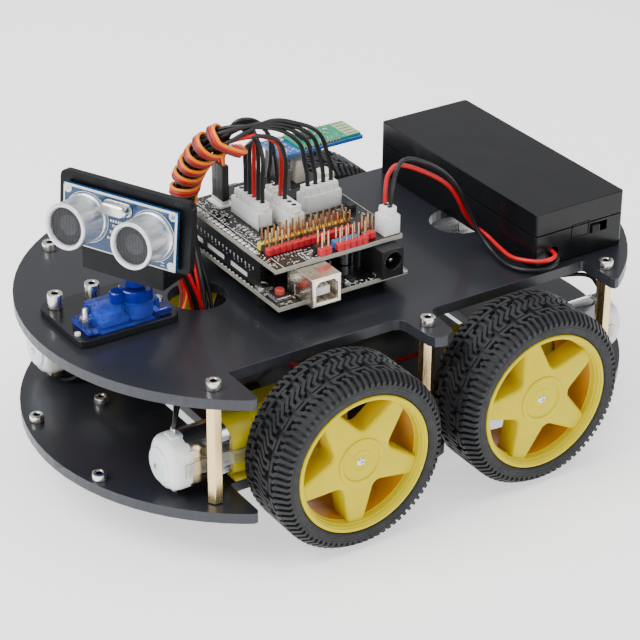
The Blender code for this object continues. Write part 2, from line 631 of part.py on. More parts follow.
for y in (SERVO_CY - 13.9, SERVO_CY + 13.9):
    add_lathe(bm, cyl_profile(SV + 14, SV + 20, 1.1), 8, centre=(PAN_X, y, 0))
boolean(servo, bm, "DIFFERENCE", "tab_holes")

# everything below turns on the servo's axis, and is drawn looking straight
# ahead before it is turned to the rest angle
PAN_ORIGIN = (PAN_X, PAN_Y, SV + 26.6)
TURN = Matrix.Translation((PAN_X, PAN_Y, 0)) @ Matrix.Rotation(PAN_REST, 4, "Z")
LEAN = Matrix.Translation((0, -SENSOR_FWD, SENSOR_Z)) @ Matrix.Rotation(-SENSOR_TILT, 4, "X")


def turned(bm, lean=False):
    bmesh.ops.transform(bm, matrix=(TURN @ LEAN) if lean else TURN, verts=bm.verts[:])
    return bm


FOOT_Z0, FOOT_Z1 = 84.9, 92.6
bm = bmesh.new()
add_lathe(bm, cyl_profile(SV + 26.6 + GAP, FOOT_Z0 - GAP, 3.5, 0.3), 16)
horn = make("servo_horn", turned(bm), "blue", origin=PAN_ORIGIN, smooth=35)
bm = bmesh.new()
arm = []
for k in range(9):
    t = math.radians(-90 + 22.5 * k)
    arm.append((9.0 + 2.2 * math.cos(t), 2.2 * math.sin(t)))
for k in range(9):
    t = math.radians(90 + 22.5 * k)
    arm.append((-9.0 + 2.2 * math.cos(t), 2.2 * math.sin(t)))
add_prism(bm, arm, FOOT_Z0 - GAP - 1.6, FOOT_Z0 - GAP)
boolean(horn, turned(bm), "UNION", "arm")

# sensor bracket: leaning back plate on a foot block
bm = bmesh.new()
add_prism(bm, rounded_rect(-26.0, 27.4, -11.4, 13.8, 2.4, 4), 2.5, 5.5, axis="y")
bracket = make("sensor_bracket", turned(bm, True), "acrylic", origin=PAN_ORIGIN, smooth=30)
bm = bmesh.new()
foot = [(-7.6, FOOT_Z0), (4.6, FOOT_Z0), (4.6, FOOT_Z1), (-2.2, FOOT_Z1), (-2.2, 97.0), (-4.7, 97.0), (-7.3, FOOT_Z1)]
add_prism(bm, foot, -16.4, 17.0, axis="x")
boolean(bracket, turned(bm), "UNION", "foot")

# sensor board with corner holes
bm = bmesh.new()
sw2, sh2 = SENSOR_W / 2, SENSOR_H / 2
add_box(bm, -sw2 + 0.4, sw2 + 0.4, 0.0, 1.6, -sh2, sh2)
sonar = make("sonar_board", turned(bm, True), "sensor_blue", origin=PAN_ORIGIN)
bm = bmesh.new()
for a in (-1, 1):
    for b in (-1, 1):
        add_lathe(bm, cyl_profile(-2.0, 4.0, 0.9), 8, axis="y", centre=(0.4 + a * (sw2 - 1.8), 0, b * (sh2 - 1.8)))
boolean(sonar, turned(bm, True), "DIFFERENCE", "corner_holes")

for name, cx in (("sonar_transmitter", -12.9), ("sonar_receiver", 13.7)):
    bm = bmesh.new()
    prof = [(-0.3, 0.0), (-0.3, 8.5), (-1.2, 8.5), (-1.2, 8.0), (-12.3, 8.0), (-12.3, 6.9), (-11.3, 6.9), (-11.3, 0.0)]
    add_lathe(bm, prof, 32, axis="y", centre=(cx, 0, 0.2))
    make(name, turned(bm, True), "steel", origin=PAN_ORIGIN, smooth=40)


# ================================================================ wires
def wire(name, pts, diameter, colour, res=2):
    cu = bpy.data.curves.new(name, "CURVE")
    cu.dimensions = "3D"
    cu.bevel_depth = diameter / 2 * MM
    cu.bevel_resolution = res
    cu.use_fill_caps = True
    sp = cu.splines.new("POLY")
    sp.points.add(len(pts) - 1)
    for p, q in zip(sp.points, pts):
        p.co = (q[0] * MM, q[1] * MM, q[2] * MM, 1.0)
    ob = bpy.data.objects.new(name, cu)
    bpy.context.scene.collection.objects.link(ob)
    rgb, rough, metal = COLOURS[colour]
    cu.materials.append(material("mat_" + name, rgb, rough, metal))
    return ob


def smooth_route(knots, step):
    """Points every step millimetres along a smooth curve through the knots."""
    k = [Vector(q) for q in knots]
    k = [k[0] * 2 - k[1]] + k + [k[-1] * 2 - k[-2]]
    dense = []
    for i in range(1, len(k) - 2):
        p0, p1, p2, p3 = k[i - 1], k[i], k[i + 1], k[i + 2]
        for j in range(24):
            t = j / 24.0
            dense.append(0.5 * ((2 * p1) + (p2 - p0) * t + (2 * p0 - 5 * p1 + 4 * p2 - p3) * t * t +
                                (3 * p1 - p0 - 3 * p2 + p3) * t ** 3))
    dense.append(k[-2])
    total = sum((b - a).length for a, b in zip(dense, dense[1:]))
    n = max(2, round(total / step))
    out, want, run = [dense[0]], total / n, 0.0
    for a, b in zip(dense, dense[1:]):
        d = (b - a).length
        while run + d >= want - 1e-9 and len(out) < n:
            out.append(a.lerp(b, (want - run) / d))
            want += total / n
        run += d
    out.append(dense[-1])
    return [tuple(q) for q in out]


# battery leads: from the plug, over and down in front of the box, round its
# lower corner and in at the lead hole
LEAD_BLACK = [(27.9, 8.5, 95.4), (28.4, 8.8, 101.6), (27.9, 10.4, 107.4), (26.8, 13.6, 110.2), (25.8, 18.0, 109.7),
              (24.7, 24.5, 106.4), (23.7, 31.0, 102.1), (22.8, 37.4, 96.3), (22.4, 43.0, 88.6), (22.0, 47.8, 79.4),
              (24.2, 50.6, 71.6), (31.0, 51.4, 67.2), (41.2, 50.2, 66.5), (48.2, 52.4, 66.6), (52.0, 57.4, 66.9),
              (53.3, 61.8, 67.8), (51.9, 65.2, 69.1), (47.4, 66.2, 69.7)]
LEAD_RED = [(25.2, 8.0, 95.4), (25.1, 8.2, 101.0), (24.6, 9.4, 105.2), (23.6, 13.2, 107.5), (22.8, 18.6, 105.7),
            (22.7, 25.4, 102.0), (22.4, 32.6, 97.2), (22.0, 38.4, 92.0), (20.9, 43.2, 85.2), (19.6, 47.0, 78.8),
            (20.4, 51.2, 72.8), (25.6, 53.8, 69.8), (33.5, 53.0, 69.0), (41.8, 51.8, 69.3), (46.9, 53.3, 69.7),
            (51.6, 56.6, 70.2), (53.6, 60.0, 70.9), (52.4, 63.5, 71.3), (47.4, 64.6, 71.3)]
wire("battery_lead_black", smooth_route(LEAD_BLACK, 4.6), 1.6, "black")
wire("battery_lead_red", smooth_route(LEAD_RED, 4.6), 1.6, "red")

# the motor and sensor wires, gathered into one bundle that comes up through
# the front cable hole and arches over to the connectors
BUNDLE = [(-2.0, -50.6, 56.0), (-4.0, -50.4, 64.0), (-11.0, -49.2, 72.0), (-18.0, -47.8, 80.4), (-21.0, -46.6, 89.0),
          (-20.0, -46.0, 98.6), (-17.0, -45.4, 105.0), (-12.6, -45.0, 110.8), (-8.2, -44.0, 116.0), (-3.0, -41.0, 120.6),
          (1.6, -36.0, 123.6), (4.6, -30.0, 124.8), (5.4, -24.4, 122.8), (4.2, -19.4, 118.6), (2.0, -15.0, 113.4),
          (0.0, -11.6, 107.8), (-1.6, -8.4, 101.4), (-2.6, -5.6, 95.4)]
wire("wire_bundle", smooth_route(BUNDLE, 6.0), 6.0, "black", 2)
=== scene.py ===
"""Looks of the four wheel robot chassis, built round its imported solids.
Lengths in the helpers are millimetres in the solids' own frame."""
import math
import random
import bpy
import bmesh
from mathutils import Vector, Matrix


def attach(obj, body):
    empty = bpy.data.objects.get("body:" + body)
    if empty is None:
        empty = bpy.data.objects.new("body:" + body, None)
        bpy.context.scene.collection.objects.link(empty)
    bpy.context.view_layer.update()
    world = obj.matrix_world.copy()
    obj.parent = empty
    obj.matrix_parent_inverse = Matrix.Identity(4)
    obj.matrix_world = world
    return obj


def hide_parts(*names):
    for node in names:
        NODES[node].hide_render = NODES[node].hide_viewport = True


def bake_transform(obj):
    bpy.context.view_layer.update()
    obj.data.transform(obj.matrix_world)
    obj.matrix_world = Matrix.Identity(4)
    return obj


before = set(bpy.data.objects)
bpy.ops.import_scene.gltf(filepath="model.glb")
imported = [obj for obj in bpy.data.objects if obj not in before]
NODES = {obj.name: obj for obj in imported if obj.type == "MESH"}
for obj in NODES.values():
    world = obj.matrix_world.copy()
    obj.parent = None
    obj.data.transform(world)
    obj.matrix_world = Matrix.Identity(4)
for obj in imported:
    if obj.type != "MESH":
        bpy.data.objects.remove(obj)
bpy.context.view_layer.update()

MM = 0.001
SCENE = bpy.context.scene
pi = math.pi


# ================================================================ materials
def sock(n, k):
    return n.inputs[k]


class Mat:
    """Small builder for node materials in object coordinates."""

    def __init__(self, name):
        self.m = bpy.data.materials.new(name)
        self.m.use_nodes = True
        self.N = self.m.node_tree.nodes
        self.L = self.m.node_tree.links
        self.b = self.N["Principled BSDF"]
        self.tc = self.N.new("ShaderNodeTexCoord")

    def noise(self, scale, detail=3.0, rough=0.55, stretch=None, coord="Object"):
        n = self.N.new("ShaderNodeTexNoise")
        n.inputs["Scale"].default_value = scale
        n.inputs["Detail"].default_value = detail
        n.inputs["Roughness"].default_value = rough
        src = self.tc.outputs[coord]
        if stretch:
            mp = self.N.new("ShaderNodeMapping")
            mp.inputs["Scale"].default_value = stretch
            self.L.new(src, mp.inputs["Vector"])
            src = mp.outputs["Vector"]
        self.L.new(src, n.inputs["Vector"])
        return n.outputs["Fac"]

    def rng(self, fac, a, b, f0=0.3, f1=0.7):
        r = self.N.new("ShaderNodeMapRange")
        r.inputs["From Min"].default_value = f0
        r.inputs["From Max"].default_value = f1
        r.inputs["To Min"].default_value = a
        r.inputs["To Max"].default_value = b
        self.L.new(fac, r.inputs["Value"])
        return r.outputs["Result"]

    def mix(self, fac, a, b, blend="MIX"):
        n = self.N.new("ShaderNodeMix")
        n.data_type = "RGBA"
        n.blend_type = blend
        if isinstance(fac, float):
            n.inputs[0].default_value = fac
        else:
            self.L.new(fac, n.inputs[0])
        for v, i in ((a, 6), (b, 7)):
            if isinstance(v, tuple):
                n.inputs[i].default_value = (v[0], v[1], v[2], 1.0)
            else:
                self.L.new(v, n.inputs[i])
        return n.outputs[2]

    def math(self, op, a, b=0.0, c=None):
        n = self.N.new("ShaderNodeMath")
        n.operation = op
        for i, v in enumerate((a, b) if c is None else (a, b, c)):
            if isinstance(v, (int, float)):
                n.inputs[i].default_value = v
            else:
                self.L.new(v, n.inputs[i])
        return n.outputs[0]

    def bump(self, height, strength=0.3, distance=0.0002, prev=None):
        n = self.N.new("ShaderNodeBump")
        n.inputs["Strength"].default_value = strength
        n.inputs["Distance"].default_value = distance
        self.L.new(height, n.inputs["Height"])
        if prev is not None:
            self.L.new(prev, n.inputs["Normal"])
        return n.outputs["Normal"]


def pmat(name, rgb, rough=0.5, metal=0.0, var=0.10, vscale=220.0, rvar=0.07, bump=0.12, bscale=2600.0, bdist=0.00004,
         coat=0.0, coat_rough=0.15, spec=0.5, trans=0.0, ior=1.45, stretch=None, sheen=0.0, sub=0.0, sub_r=0.002,
         alpha=1.0, tint=None, scratch=0.0):
    """Principled material whose colour, roughness and relief vary over the piece."""
    t = Mat(name)
    lo = tuple(max(0.0, c * (1 - var)) for c in rgb)
    hi = tuple(min(1.0, c * (1 + var)) for c in rgb)
    if tint:
        hi = tint
    col = t.mix(t.rng(t.noise(vscale, 4.0), 0.0, 1.0), lo, hi)
    t.L.new(col, t.b.inputs["Base Color"])
    r = t.rng(t.noise(vscale * 2.7, 5.0), max(0.02, rough - rvar), min(1.0, rough + rvar))
    if scratch:
        s = t.noise(900.0, 2.0, 0.5, (1.0, 14.0, 1.0))
        r = t.math("ADD", r, t.rng(s, 0.0, scratch, 0.55, 0.75))
    t.L.new(r, t.b.inputs["Roughness"])
    if bump:
        t.L.new(t.bump(t.noise(bscale, 2.0, 0.5, stretch), bump, bdist), t.b.inputs["Normal"])
    for k, v in (("Metallic", metal), ("Coat Weight", coat), ("Coat Roughness", coat_rough), ("Specular IOR Level", spec),
                 ("Transmission Weight", trans), ("IOR", ior), ("Sheen Weight", sheen), ("Subsurface Weight", sub),
                 ("Subsurface Scale", sub_r), ("Alpha", alpha)):
        t.b.inputs[k].default_value = v
    return t.m


def acrylic(name, top, edge, rough=0.16):
    """Sheet cut from black acrylic: satin film face, paler polished edge."""
    t = Mat(name)
    sep = t.N.new("ShaderNodeSeparateXYZ")
    t.L.new(t.tc.outputs["Normal"], sep.inputs[0])
    up = t.math("ABSOLUTE", sep.outputs["Z"])
    side = t.rng(up, 1.0, 0.0, 0.25, 0.8)
    cloud = t.rng(t.noise(26.0, 3.0), 0.0, 1.0)
    face = t.mix(cloud, tuple(c * 0.92 for c in top), tuple(c * 1.08 for c in top))
    saw = t.rng(t.noise(700.0, 2.0, 0.5, (1.0, 1.0, 0.1)), 0.0, 1.0)
    cut = t.mix(saw, tuple(c * 0.85 for c in edge), tuple(c * 1.15 for c in edge))
    col = t.mix(side, face, cut)
    dust = t.rng(t.noise(5200.0, 1.0, 0.5), 0.0, 0.10, 0.70, 0.78)
    t.L.new(t.mix(dust, col, (0.35, 0.36, 0.38)), t.b.inputs["Base Color"])
    r = t.math("ADD", t.rng(t.noise(60.0, 4.0), rough - 0.03, rough + 0.04), t.rng(side, 0.0, 0.12, 0.0, 1.0))
    t.L.new(r, t.b.inputs["Roughness"])
    t.L.new(t.bump(t.noise(420.0, 2.0), 0.05, 0.00003), t.b.inputs["Normal"])
    t.b.inputs["Specular IOR Level"].default_value = 0.45
    t.b.inputs["IOR"].default_value = 1.49
    t.b.inputs["Coat Weight"].default_value = 0.15
    t.b.inputs["Coat Roughness"].default_value = 0.10
    return t.m


def tyre_mat():
    t = Mat("tyre_rubber")
    dust = t.rng(t.noise(160.0, 5.0), 0.0, 1.0, 0.35, 0.7)
    col = t.mix(dust, (0.0055, 0.0060, 0.0076), (0.0125, 0.0138, 0.0170))
    t.L.new(col, t.b.inputs["Base Color"])
    t.L.new(t.rng(t.noise(500.0, 4.0), 0.50, 0.68), t.b.inputs["Roughness"])
    n = t.bump(t.noise(3800.0, 3.0), 0.22, 0.00005)
    n = t.bump(t.noise(700.0, 2.0), 0.10, 0.0001, n)
    t.L.new(n, t.b.inputs["Normal"])
    t.b.inputs["Specular IOR Level"].default_value = 0.42
    t.b.inputs["Sheen Weight"].default_value = 0.10
    t.b.inputs["Sheen Roughness"].default_value = 0.4
    return t.m


def brushed(name, rgb, rough, axis_stretch, metal=1.0, aniso=0.3, stain=0.25):
    t = Mat(name)
    g = t.noise(1500.0, 3.0, 0.6, axis_stretch)
    col = t.mix(t.rng(g, 0.0, 1.0), tuple(c * 0.86 for c in rgb), tuple(min(1, c * 1.06) for c in rgb))
    spots = t.rng(t.noise(320.0, 5.0), 0.0, stain, 0.62, 0.8)
    col = t.mix(spots, col, tuple(c * 0.55 for c in rgb))
    t.L.new(col, t.b.inputs["Base Color"])
    t.L.new(t.rng(g, rough - 0.06, rough + 0.08), t.b.inputs["Roughness"])
    t.L.new(t.bump(g, 0.08, 0.00002), t.b.inputs["Normal"])
    t.b.inputs["Metallic"].default_value = metal
    t.b.inputs["Anisotropic"].default_value = aniso
    return t.m


M = {
    "acrylic": acrylic("acrylic_black", (0.0165, 0.0185, 0.0240), (0.024, 0.027, 0.036), 0.30),
    "acrylic_gloss": acrylic("acrylic_gloss", (0.006, 0.0065, 0.008), (0.010, 0.011, 0.014), 0.16),
    "tyre": tyre_mat(),
    "yellow": pmat("yellow_plastic", (0.65, 0.53, 0.0), 0.38, var=0.04, vscale=120, coat=0.03, sub=0.0, sub_r=0.003, spec=0.22,
                   bump=0.10, bscale=1800),
    # deeper orange copy of the rim yellow: painted shade for the self-shadowed inside of the wheel barrel
    "yellow_in": pmat("yellow_inner_painted_shade", (0.62, 0.27, 0.0), 0.45, var=0.06, vscale=120, bump=0.10, bscale=1800, spec=0.3),
    "yellow_gear": pmat("yellow_gearbox", (0.66, 0.54, 0.006), 0.42, var=0.06, vscale=140, sub=0.10, sub_r=0.003, bump=0.14,
                        bscale=1500),
    "brass": brushed("brass", (0.92, 0.70, 0.36), 0.26, (1.0, 1.0, 0.06), stain=0.15),
    "nickel": brushed("nickel", (0.82, 0.80, 0.76), 0.24, (1.0, 1.0, 0.2), stain=0.08),
    # near-black for the inside of the cap screws' hex sockets: painted shade in the recess
    "recess": pmat("socket_recess_painted_shade", (0.012, 0.012, 0.012), 0.5, metal=0.4, var=0.2, vscale=600, bump=0.1),
    # dark steel for seams, screw ends and small discs; on the screw heads its crosses are painted shade for the cross
    # recess
    "dark_steel_and_slot_shade": brushed("dark_steel_and_slot_shade", (0.30, 0.30, 0.30), 0.35, (1.0, 1.0, 1.0)),
    "can": brushed("motor_can", (0.66, 0.67, 0.69), 0.18, (1.0, 0.08, 1.0)),
    "alu": brushed("sensor_can", (0.90, 0.92, 0.96), 0.34, (1.0, 0.06, 1.0), stain=0.04),
    "alu_rim": pmat("sensor_can_rim", (0.80, 0.81, 0.84), 0.38, metal=0.55, var=0.05, vscale=600, bump=0.1),
    "usb": pmat("socket_shell", (0.93, 0.86, 0.74), 0.24, metal=1.0, var=0.03, vscale=120, rvar=0.04, bump=0.03, bscale=500),
    "gold": brushed("gold_pin", (0.86, 0.62, 0.34), 0.24, (1.0, 1.0, 0.1)),
    "tin": brushed("tinned", (0.72, 0.72, 0.70), 0.30, (1.0, 1.0, 1.0)),
    "screen": pmat("screen_wire", (0.10, 0.10, 0.11), 0.45, metal=0.6, var=0.1, vscale=600, bump=0.1),
    "cone": pmat("sensor_cone", (0.16, 0.165, 0.18), 0.45, metal=0.3, var=0.2, vscale=500, bump=0.1),
    "crystal": brushed("crystal_can", (0.80, 0.79, 0.75), 0.22, (0.3, 1.0, 1.0)),
    "nylon": pmat("white_nylon", (0.90, 0.90, 0.90), 0.30, var=0.03, vscale=150, sub=0.25, sub_r=0.003, bump=0.08,
                  bscale=1200),
    "white": pmat("white_housing", (0.97, 0.97, 0.96), 0.34, var=0.04, vscale=260, sub=0.12, sub_r=0.002, bump=0.10),
    "ivory": pmat("ivory_housing", (0.72, 0.69, 0.58), 0.42, var=0.05, vscale=260, sub=0.1, sub_r=0.002, bump=0.10),
    "clear": pmat("clear_strap", (0.94, 0.93, 0.86), 0.10, var=0.02, vscale=300, trans=0.92, ior=1.45, bump=0.04),
    "black": pmat("black_plastic", (0.009, 0.0095, 0.0105), 0.42, var=0.25, vscale=260, bump=0.20, bscale=3200),
    "black_gloss": pmat("black_gloss", (0.010, 0.010, 0.011), 0.22, var=0.2, vscale=200, bump=0.05, coat=0.3),
    "box": pmat("box_black", (0.0060, 0.0064, 0.0078), 0.24, var=0.2, vscale=60, rvar=0.04, bump=0.10, bscale=5200,
                bdist=0.00001, scratch=0.03, spec=0.30),
    "bracket": pmat("bracket_black", (0.0042, 0.0046, 0.0060), 0.32, var=0.15, vscale=120, bump=0.06, bscale=4200,
                    bdist=0.00001, spec=0.20),
    "board": pmat("board_black", (0.010, 0.0108, 0.0105), 0.24, var=0.35, vscale=420, bump=0.30, bscale=900,
                  bdist=0.00003, coat=0.25),
    "board_edge": pmat("board_edge", (0.40, 0.39, 0.33), 0.6, var=0.15, vscale=900, bump=0.3),
    "blue_board": pmat("board_blue", (0.001, 0.040, 0.125), 0.26, var=0.22, vscale=380, bump=0.25, bscale=800,
                       bdist=0.00003, coat=0.3),
    "blue_carrier": pmat("board_carrier", (0.02, 0.12, 0.36), 0.28, var=0.2, vscale=400, bump=0.2, coat=0.2),
    "green": pmat("board_green", (0.010, 0.27, 0.145), 0.27, var=0.25, vscale=480, bump=0.25, bscale=900, coat=0.3),
    "antenna": pmat("board_bare", (0.50, 0.47, 0.30), 0.4, var=0.1, vscale=500, bump=0.2),
    "ink": pmat("white_ink", (0.80, 0.81, 0.80), 0.55, var=0.05, vscale=1500, bump=0.10),
    "red_cap": pmat("red_button", (0.60, 0.075, 0.055), 0.35, var=0.08, vscale=500, bump=0.1),
    "red_base": pmat("red_base", (0.66, 0.020, 0.035), 0.38, var=0.12, vscale=500, bump=0.12),
    "yellow_base": pmat("yellow_base", (0.80, 0.66, 0.02), 0.40, var=0.10, vscale=500, bump=0.12),
    "blue_base": pmat("blue_base", (0.05, 0.20, 0.62), 0.40, var=0.10, vscale=500, bump=0.12),
    "ceramic": pmat("ceramic", (0.42, 0.34, 0.24), 0.4, var=0.15, vscale=800, bump=0.1),
    "chip": pmat("chip_black", (0.018, 0.018, 0.019), 0.50, var=0.2, vscale=600, bump=0.3, bscale=3600),
    "servo": pmat("servo_blue", (0.10, 0.16, 0.94), 0.05, var=0.04, vscale=160, rvar=0.02, trans=0.96, ior=1.42, bump=0.02, coat=0.2),
    "servo_in": pmat("servo_inner", (0.45, 0.72, 0.98), 0.38, var=0.20, vscale=260, bump=0.2, sub=0.1),
    "servo_dark": pmat("servo_horn_blue", (0.004, 0.02, 0.42), 0.14, var=0.1, vscale=200, trans=0.35, bump=0.04, coat=0.3),
    "sleeve": pmat("cell_sleeve", (0.04, 0.30, 0.18), 0.3, var=0.08, vscale=120, bump=0.05, coat=0.3),
    "w_red": pmat("wire_red", (0.62, 0.004, 0.008), 0.34, var=0.08, vscale=300, bump=0.15, bscale=1400),
    "w_black": pmat("wire_black", (0.011, 0.0115, 0.013), 0.36, var=0.2, vscale=300, bump=0.15, bscale=1400),
    "w_orange": pmat("wire_orange", (0.92, 0.24, 0.004), 0.38, var=0.06, vscale=300, bump=0.12, bscale=1400),
    "w_brown": pmat("wire_brown", (0.19, 0.040, 0.025), 0.40, var=0.10, vscale=300, bump=0.12, bscale=1400),
    "shaft": pmat("white_shaft", (0.74, 0.73, 0.70), 0.42, var=0.05, vscale=300, sub=0.1, bump=0.1),
}


# ================================================================ mesh tools
class P:
    """Collects shapes into one mesh; each shape takes the current material."""

    def __init__(self):
        self.bm = bmesh.new()
        self.names = []
        self.cur = 0

    def mat(self, name):
        if name not in self.names:
            self.names.append(name)
        self.cur = self.names.index(name)
        return self

    def face(self, vs):
        try:
            f = self.bm.faces.new(vs)
        except ValueError:
            return None
        f.material_index = self.cur
        return f

    def box(self, x0, x1, y0, y1, z0, z1, r=0.0, seg=2, m=None):
        """Box with its edges rounded by r."""
        x0, x1 = min(x0, x1), max(x0, x1)
        y0, y1 = min(y0, y1), max(y0, y1)
        mm = Matrix.Translation(((x0 + x1) / 2, (y0 + y1) / 2, (z0 + z1) / 2)) @ \
            Matrix.Diagonal((x1 - x0, y1 - y0, z1 - z0, 1.0))
        v = bmesh.ops.create_cube(self.bm, size=1.0, matrix=mm)["verts"]
        fs = {f for q in v for f in q.link_faces}
        for f in fs:
            f.material_index = self.cur
        if r > 0:
            es = list({e for q in v for e in q.link_edges})
            out = bmesh.ops.bevel(self.bm, geom=es, offset=r, segments=seg, affect="EDGES", profile=0.5)
            for f in out["faces"]:
                f.material_index = self.cur
            v = list({q for f in out["faces"] for q in f.verts} | {q for q in v if q.is_valid})
        if m is not None:
            bmesh.ops.transform(self.bm, matrix=m, verts=v)
        return v

    def prism(self, pts, lo, hi, axis="z", cham=0.0, m=None):
        def place(a, b, c):
            return {"z": (a, b, c), "x": (c, a, b), "y": (a, c, b)}[axis]
        rings = []
        if cham > 0:
            ins = inset(pts, cham)
            levels = [(ins, lo), (pts, lo + cham), (pts, hi - cham), (ins, hi)]
        else:
            levels = [(pts, lo), (pts, hi)]
        for q, c in levels:
            rings.append([self.bm.verts.new(place(a, b, c)) for a, b in q])
        n = len(pts)
        self.face(rings[0][::-1])
        self.face(rings[-1])
        for r0, r1 in zip(rings, rings[1:]):
            for i in range(n):
                j = (i + 1) % n
                self.face((r0[i], r0[j], r1[j], r1[i]))
        v = [q for r in rings for q in r]
        if m is not None:
            bmesh.ops.transform(self.bm, matrix=m, verts=v)
        return v

    def lathe(self, profile, n=32, axis="z", centre=(0.0, 0.0, 0.0), phase=0.0, m=None, ring=None):
        c = Vector(centre)
        if ring is None:
            ring = profile[0][1] > 1e-9 and profile[-1][1] > 1e-9

        def pos(a, r, t):
            u, v = r * math.cos(t), r * math.sin(t)
            return c + Vector({"z": (u, v, a), "x": (a, u, v), "y": (v, a, u)}[axis])
        cols, allv = [], []
        for a, r in profile:
            if r < 1e-9:
                v = self.bm.verts.new(pos(a, 0.0, 0.0))
                allv.append(v)
                cols.append([v] * n)
            else:
                col = [self.bm.verts.new(pos(a, r, phase + 2 * pi * k / n)) for k in range(n)]
                allv += col
                cols.append(col)
        k0 = len(profile)
        for i in range(k0 if ring else k0 - 1):
            p, q = cols[i], cols[(i + 1) % k0]
            for k in range(n):
                j = (k + 1) % n
                vs = []
                for v in (p[k], p[j], q[j], q[k]):
                    if v not in vs:
                        vs.append(v)
                if len(vs) > 2:
                    self.face(vs)
        if m is not None:
            bmesh.ops.transform(self.bm, matrix=m, verts=allv)
        return allv

    def tube(self, pts, r, n=8, m=None, flat=1.0):
        """Round wire along points, closed at both ends."""
        pts = [Vector(p) for p in pts]
        t0 = (pts[1] - pts[0]).normalized()
        up = Vector((0, 0, 1)) if abs(t0.z) < 0.9 else Vector((1, 0, 0))
        u = t0.cross(up).normalized()
        rings, prev = [], t0
        for i, p in enumerate(pts):
            a = pts[max(0, i - 1)]
            b = pts[min(len(pts) - 1, i + 1)]
            t = (b - a).normalized()
            q = prev.rotation_difference(t)
            u = (q @ u).normalized()
            u = (u - t * u.dot(t)).normalized()
            w = t.cross(u)
            prev = t
            rr = r[i] if isinstance(r, (list, tuple)) else r
            rings.append([self.bm.verts.new(p + u * (rr * math.cos(2 * pi * k / n)) + w * (rr * flat * math.sin(2 * pi * k / n)))
                          for k in range(n)])
        for a, b in zip(rings, rings[1:]):
            for k in range(n):
                j = (k + 1) % n
                self.face((a[k], a[j], b[j], b[k]))
        self.face(rings[0][::-1])
        self.face(rings[-1])
        v = [q for g in rings for q in g]
        if m is not None:
            bmesh.ops.transform(self.bm, matrix=m, verts=v)
        return v

    def done(self, name, body, slot=None, smooth=35, bevel=0.0, seg=2, replaces=(), merge=True, raw=False):
        bm = self.bm
        if merge:
            bmesh.ops.remove_doubles(bm, verts=bm.verts[:], dist=1e-5)
        bmesh.ops.recalc_face_normals(bm, faces=bm.faces[:])
        for v in bm.verts:
            v.co *= MM
        me = bpy.data.meshes.new(name)
        bm.to_mesh(me)
        bm.free()
        ob = bpy.data.objects.new(name, me)
        SCENE.collection.objects.link(ob)
        for k in self.names:
            me.materials.append(M[k])
        if smooth:
            me.shade_smooth()
            me.set_sharp_from_angle(angle=math.radians(smooth))
        if bevel:
            md = ob.modifiers.new("edge", "BEVEL")
            md.width = bevel * MM
            md.segments = seg
            md.limit_method = "ANGLE"
            md.angle_limit = math.radians(40)
            md.harden_normals = True
        if raw:
            return ob
        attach(ob, body)
        if replaces:
            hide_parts(*replaces)
        return ob


def inset(pts, d):
    """Outline moved inwards by d (convex or gently concave, anticlockwise)."""
    n = len(pts)
    area = sum(pts[i][0] * pts[(i + 1) % n][1] - pts[(i + 1) % n][0] * pts[i][1] for i in range(n))
    s = 1.0 if area > 0 else -1.0
    out = []
    for i in range(n):
        a, p, b = Vector(pts[i - 1]), Vector(pts[i]), Vector(pts[(i + 1) % n])
        e0, e1 = (p - a).normalized(), (b - p).normalized()
        n0, n1 = Vector((-e0.y, e0.x)) * s, Vector((-e1.y, e1.x)) * s
        k = n0 + n1
        q = p + k * (d / max(0.35, 1 + n0.dot(n1)))
        out.append((q.x, q.y))
    return out


def round_outline(corners, seg=6):
    out = []
    n = len(corners)
    for i in range(n):
        x, y, r = corners[i]
        p = Vector((x, y))
        if r <= 0.0:
            out.append((x, y))
            continue
        a = (Vector(corners[i - 1][:2]) - p).normalized()
        b = (Vector(corners[(i + 1) % n][:2]) - p).normalized()
        half = a.angle(b) / 2.0
        d = r / math.tan(half)
        c = p + (a + b).normalized() * (r / math.sin(half))
        t0, t1 = p + a * d - c, p + b * d - c
        g0, g1 = math.atan2(t0.y, t0.x), math.atan2(t1.y, t1.x)
        da = (g1 - g0 + pi) % (2 * pi) - pi
        for k in range(seg + 1):
            t = g0 + da * k / seg
            out.append((c.x + r * math.cos(t), c.y + r * math.sin(t)))
    return out


def rrect(x0, x1, y0, y1, r, seg=5):
    return round_outline([(x0, y0, r), (x1, y0, r), (x1, y1, r), (x0, y1, r)], seg)


def cyl(a0, a1, r, ch=0.0):
    if ch:
        return [(a0, 0.0), (a0, r - ch), (a0 + ch, r), (a1 - ch, r), (a1, r - ch), (a1, 0.0)]
    return [(a0, 0.0), (a0, r), (a1, r), (a1, 0.0)]


def bake(ob):
    """Applies an object's modifiers to its mesh."""
    dg = bpy.context.evaluated_depsgraph_get()
    me = bpy.data.meshes.new_from_object(ob.evaluated_get(dg))
    ob.modifiers.clear()
    ob.data = me
    return ob


def cut(ob, tools, op="DIFFERENCE"):
    """Boolean with P tools, applied straight away."""
    made = []
    for i, t in enumerate(tools):
        t.mat(next(k for k in M if M[k] == ob.data.materials[0]))
        c = t.done(ob.name + "_tool%d" % i, None, raw=True, smooth=0)
        md = ob.modifiers.new("b%d" % i, "BOOLEAN")
        md.operation = op
        md.solver = "EXACT"
        md.object = c
        made.append(c)
    bpy.context.view_layer.update()
    bake(ob)
    for c in made:
        bpy.data.objects.remove(c, do_unlink=True)
    return ob


def edge(ob, w, seg=2, ang=40):
    md = ob.modifiers.new("edge", "BEVEL")
    md.width = w * MM
    md.segments = seg
    md.limit_method = "ANGLE"
    md.angle_limit = math.radians(ang)
    md.harden_normals = True
    return ob


def dress(node, material, bevel=0.0, seg=2, smooth=30):
    """A CAD node that stays: a finished material and softened edges."""
    o = NODES[node]
    o.data.materials.clear()
    o.data.materials.append(M[material])
    if bevel:
        w = o.modifiers.new("weld", "WELD")
        w.merge_threshold = 0.00001
        edge(o, bevel, seg, 40)
    return o


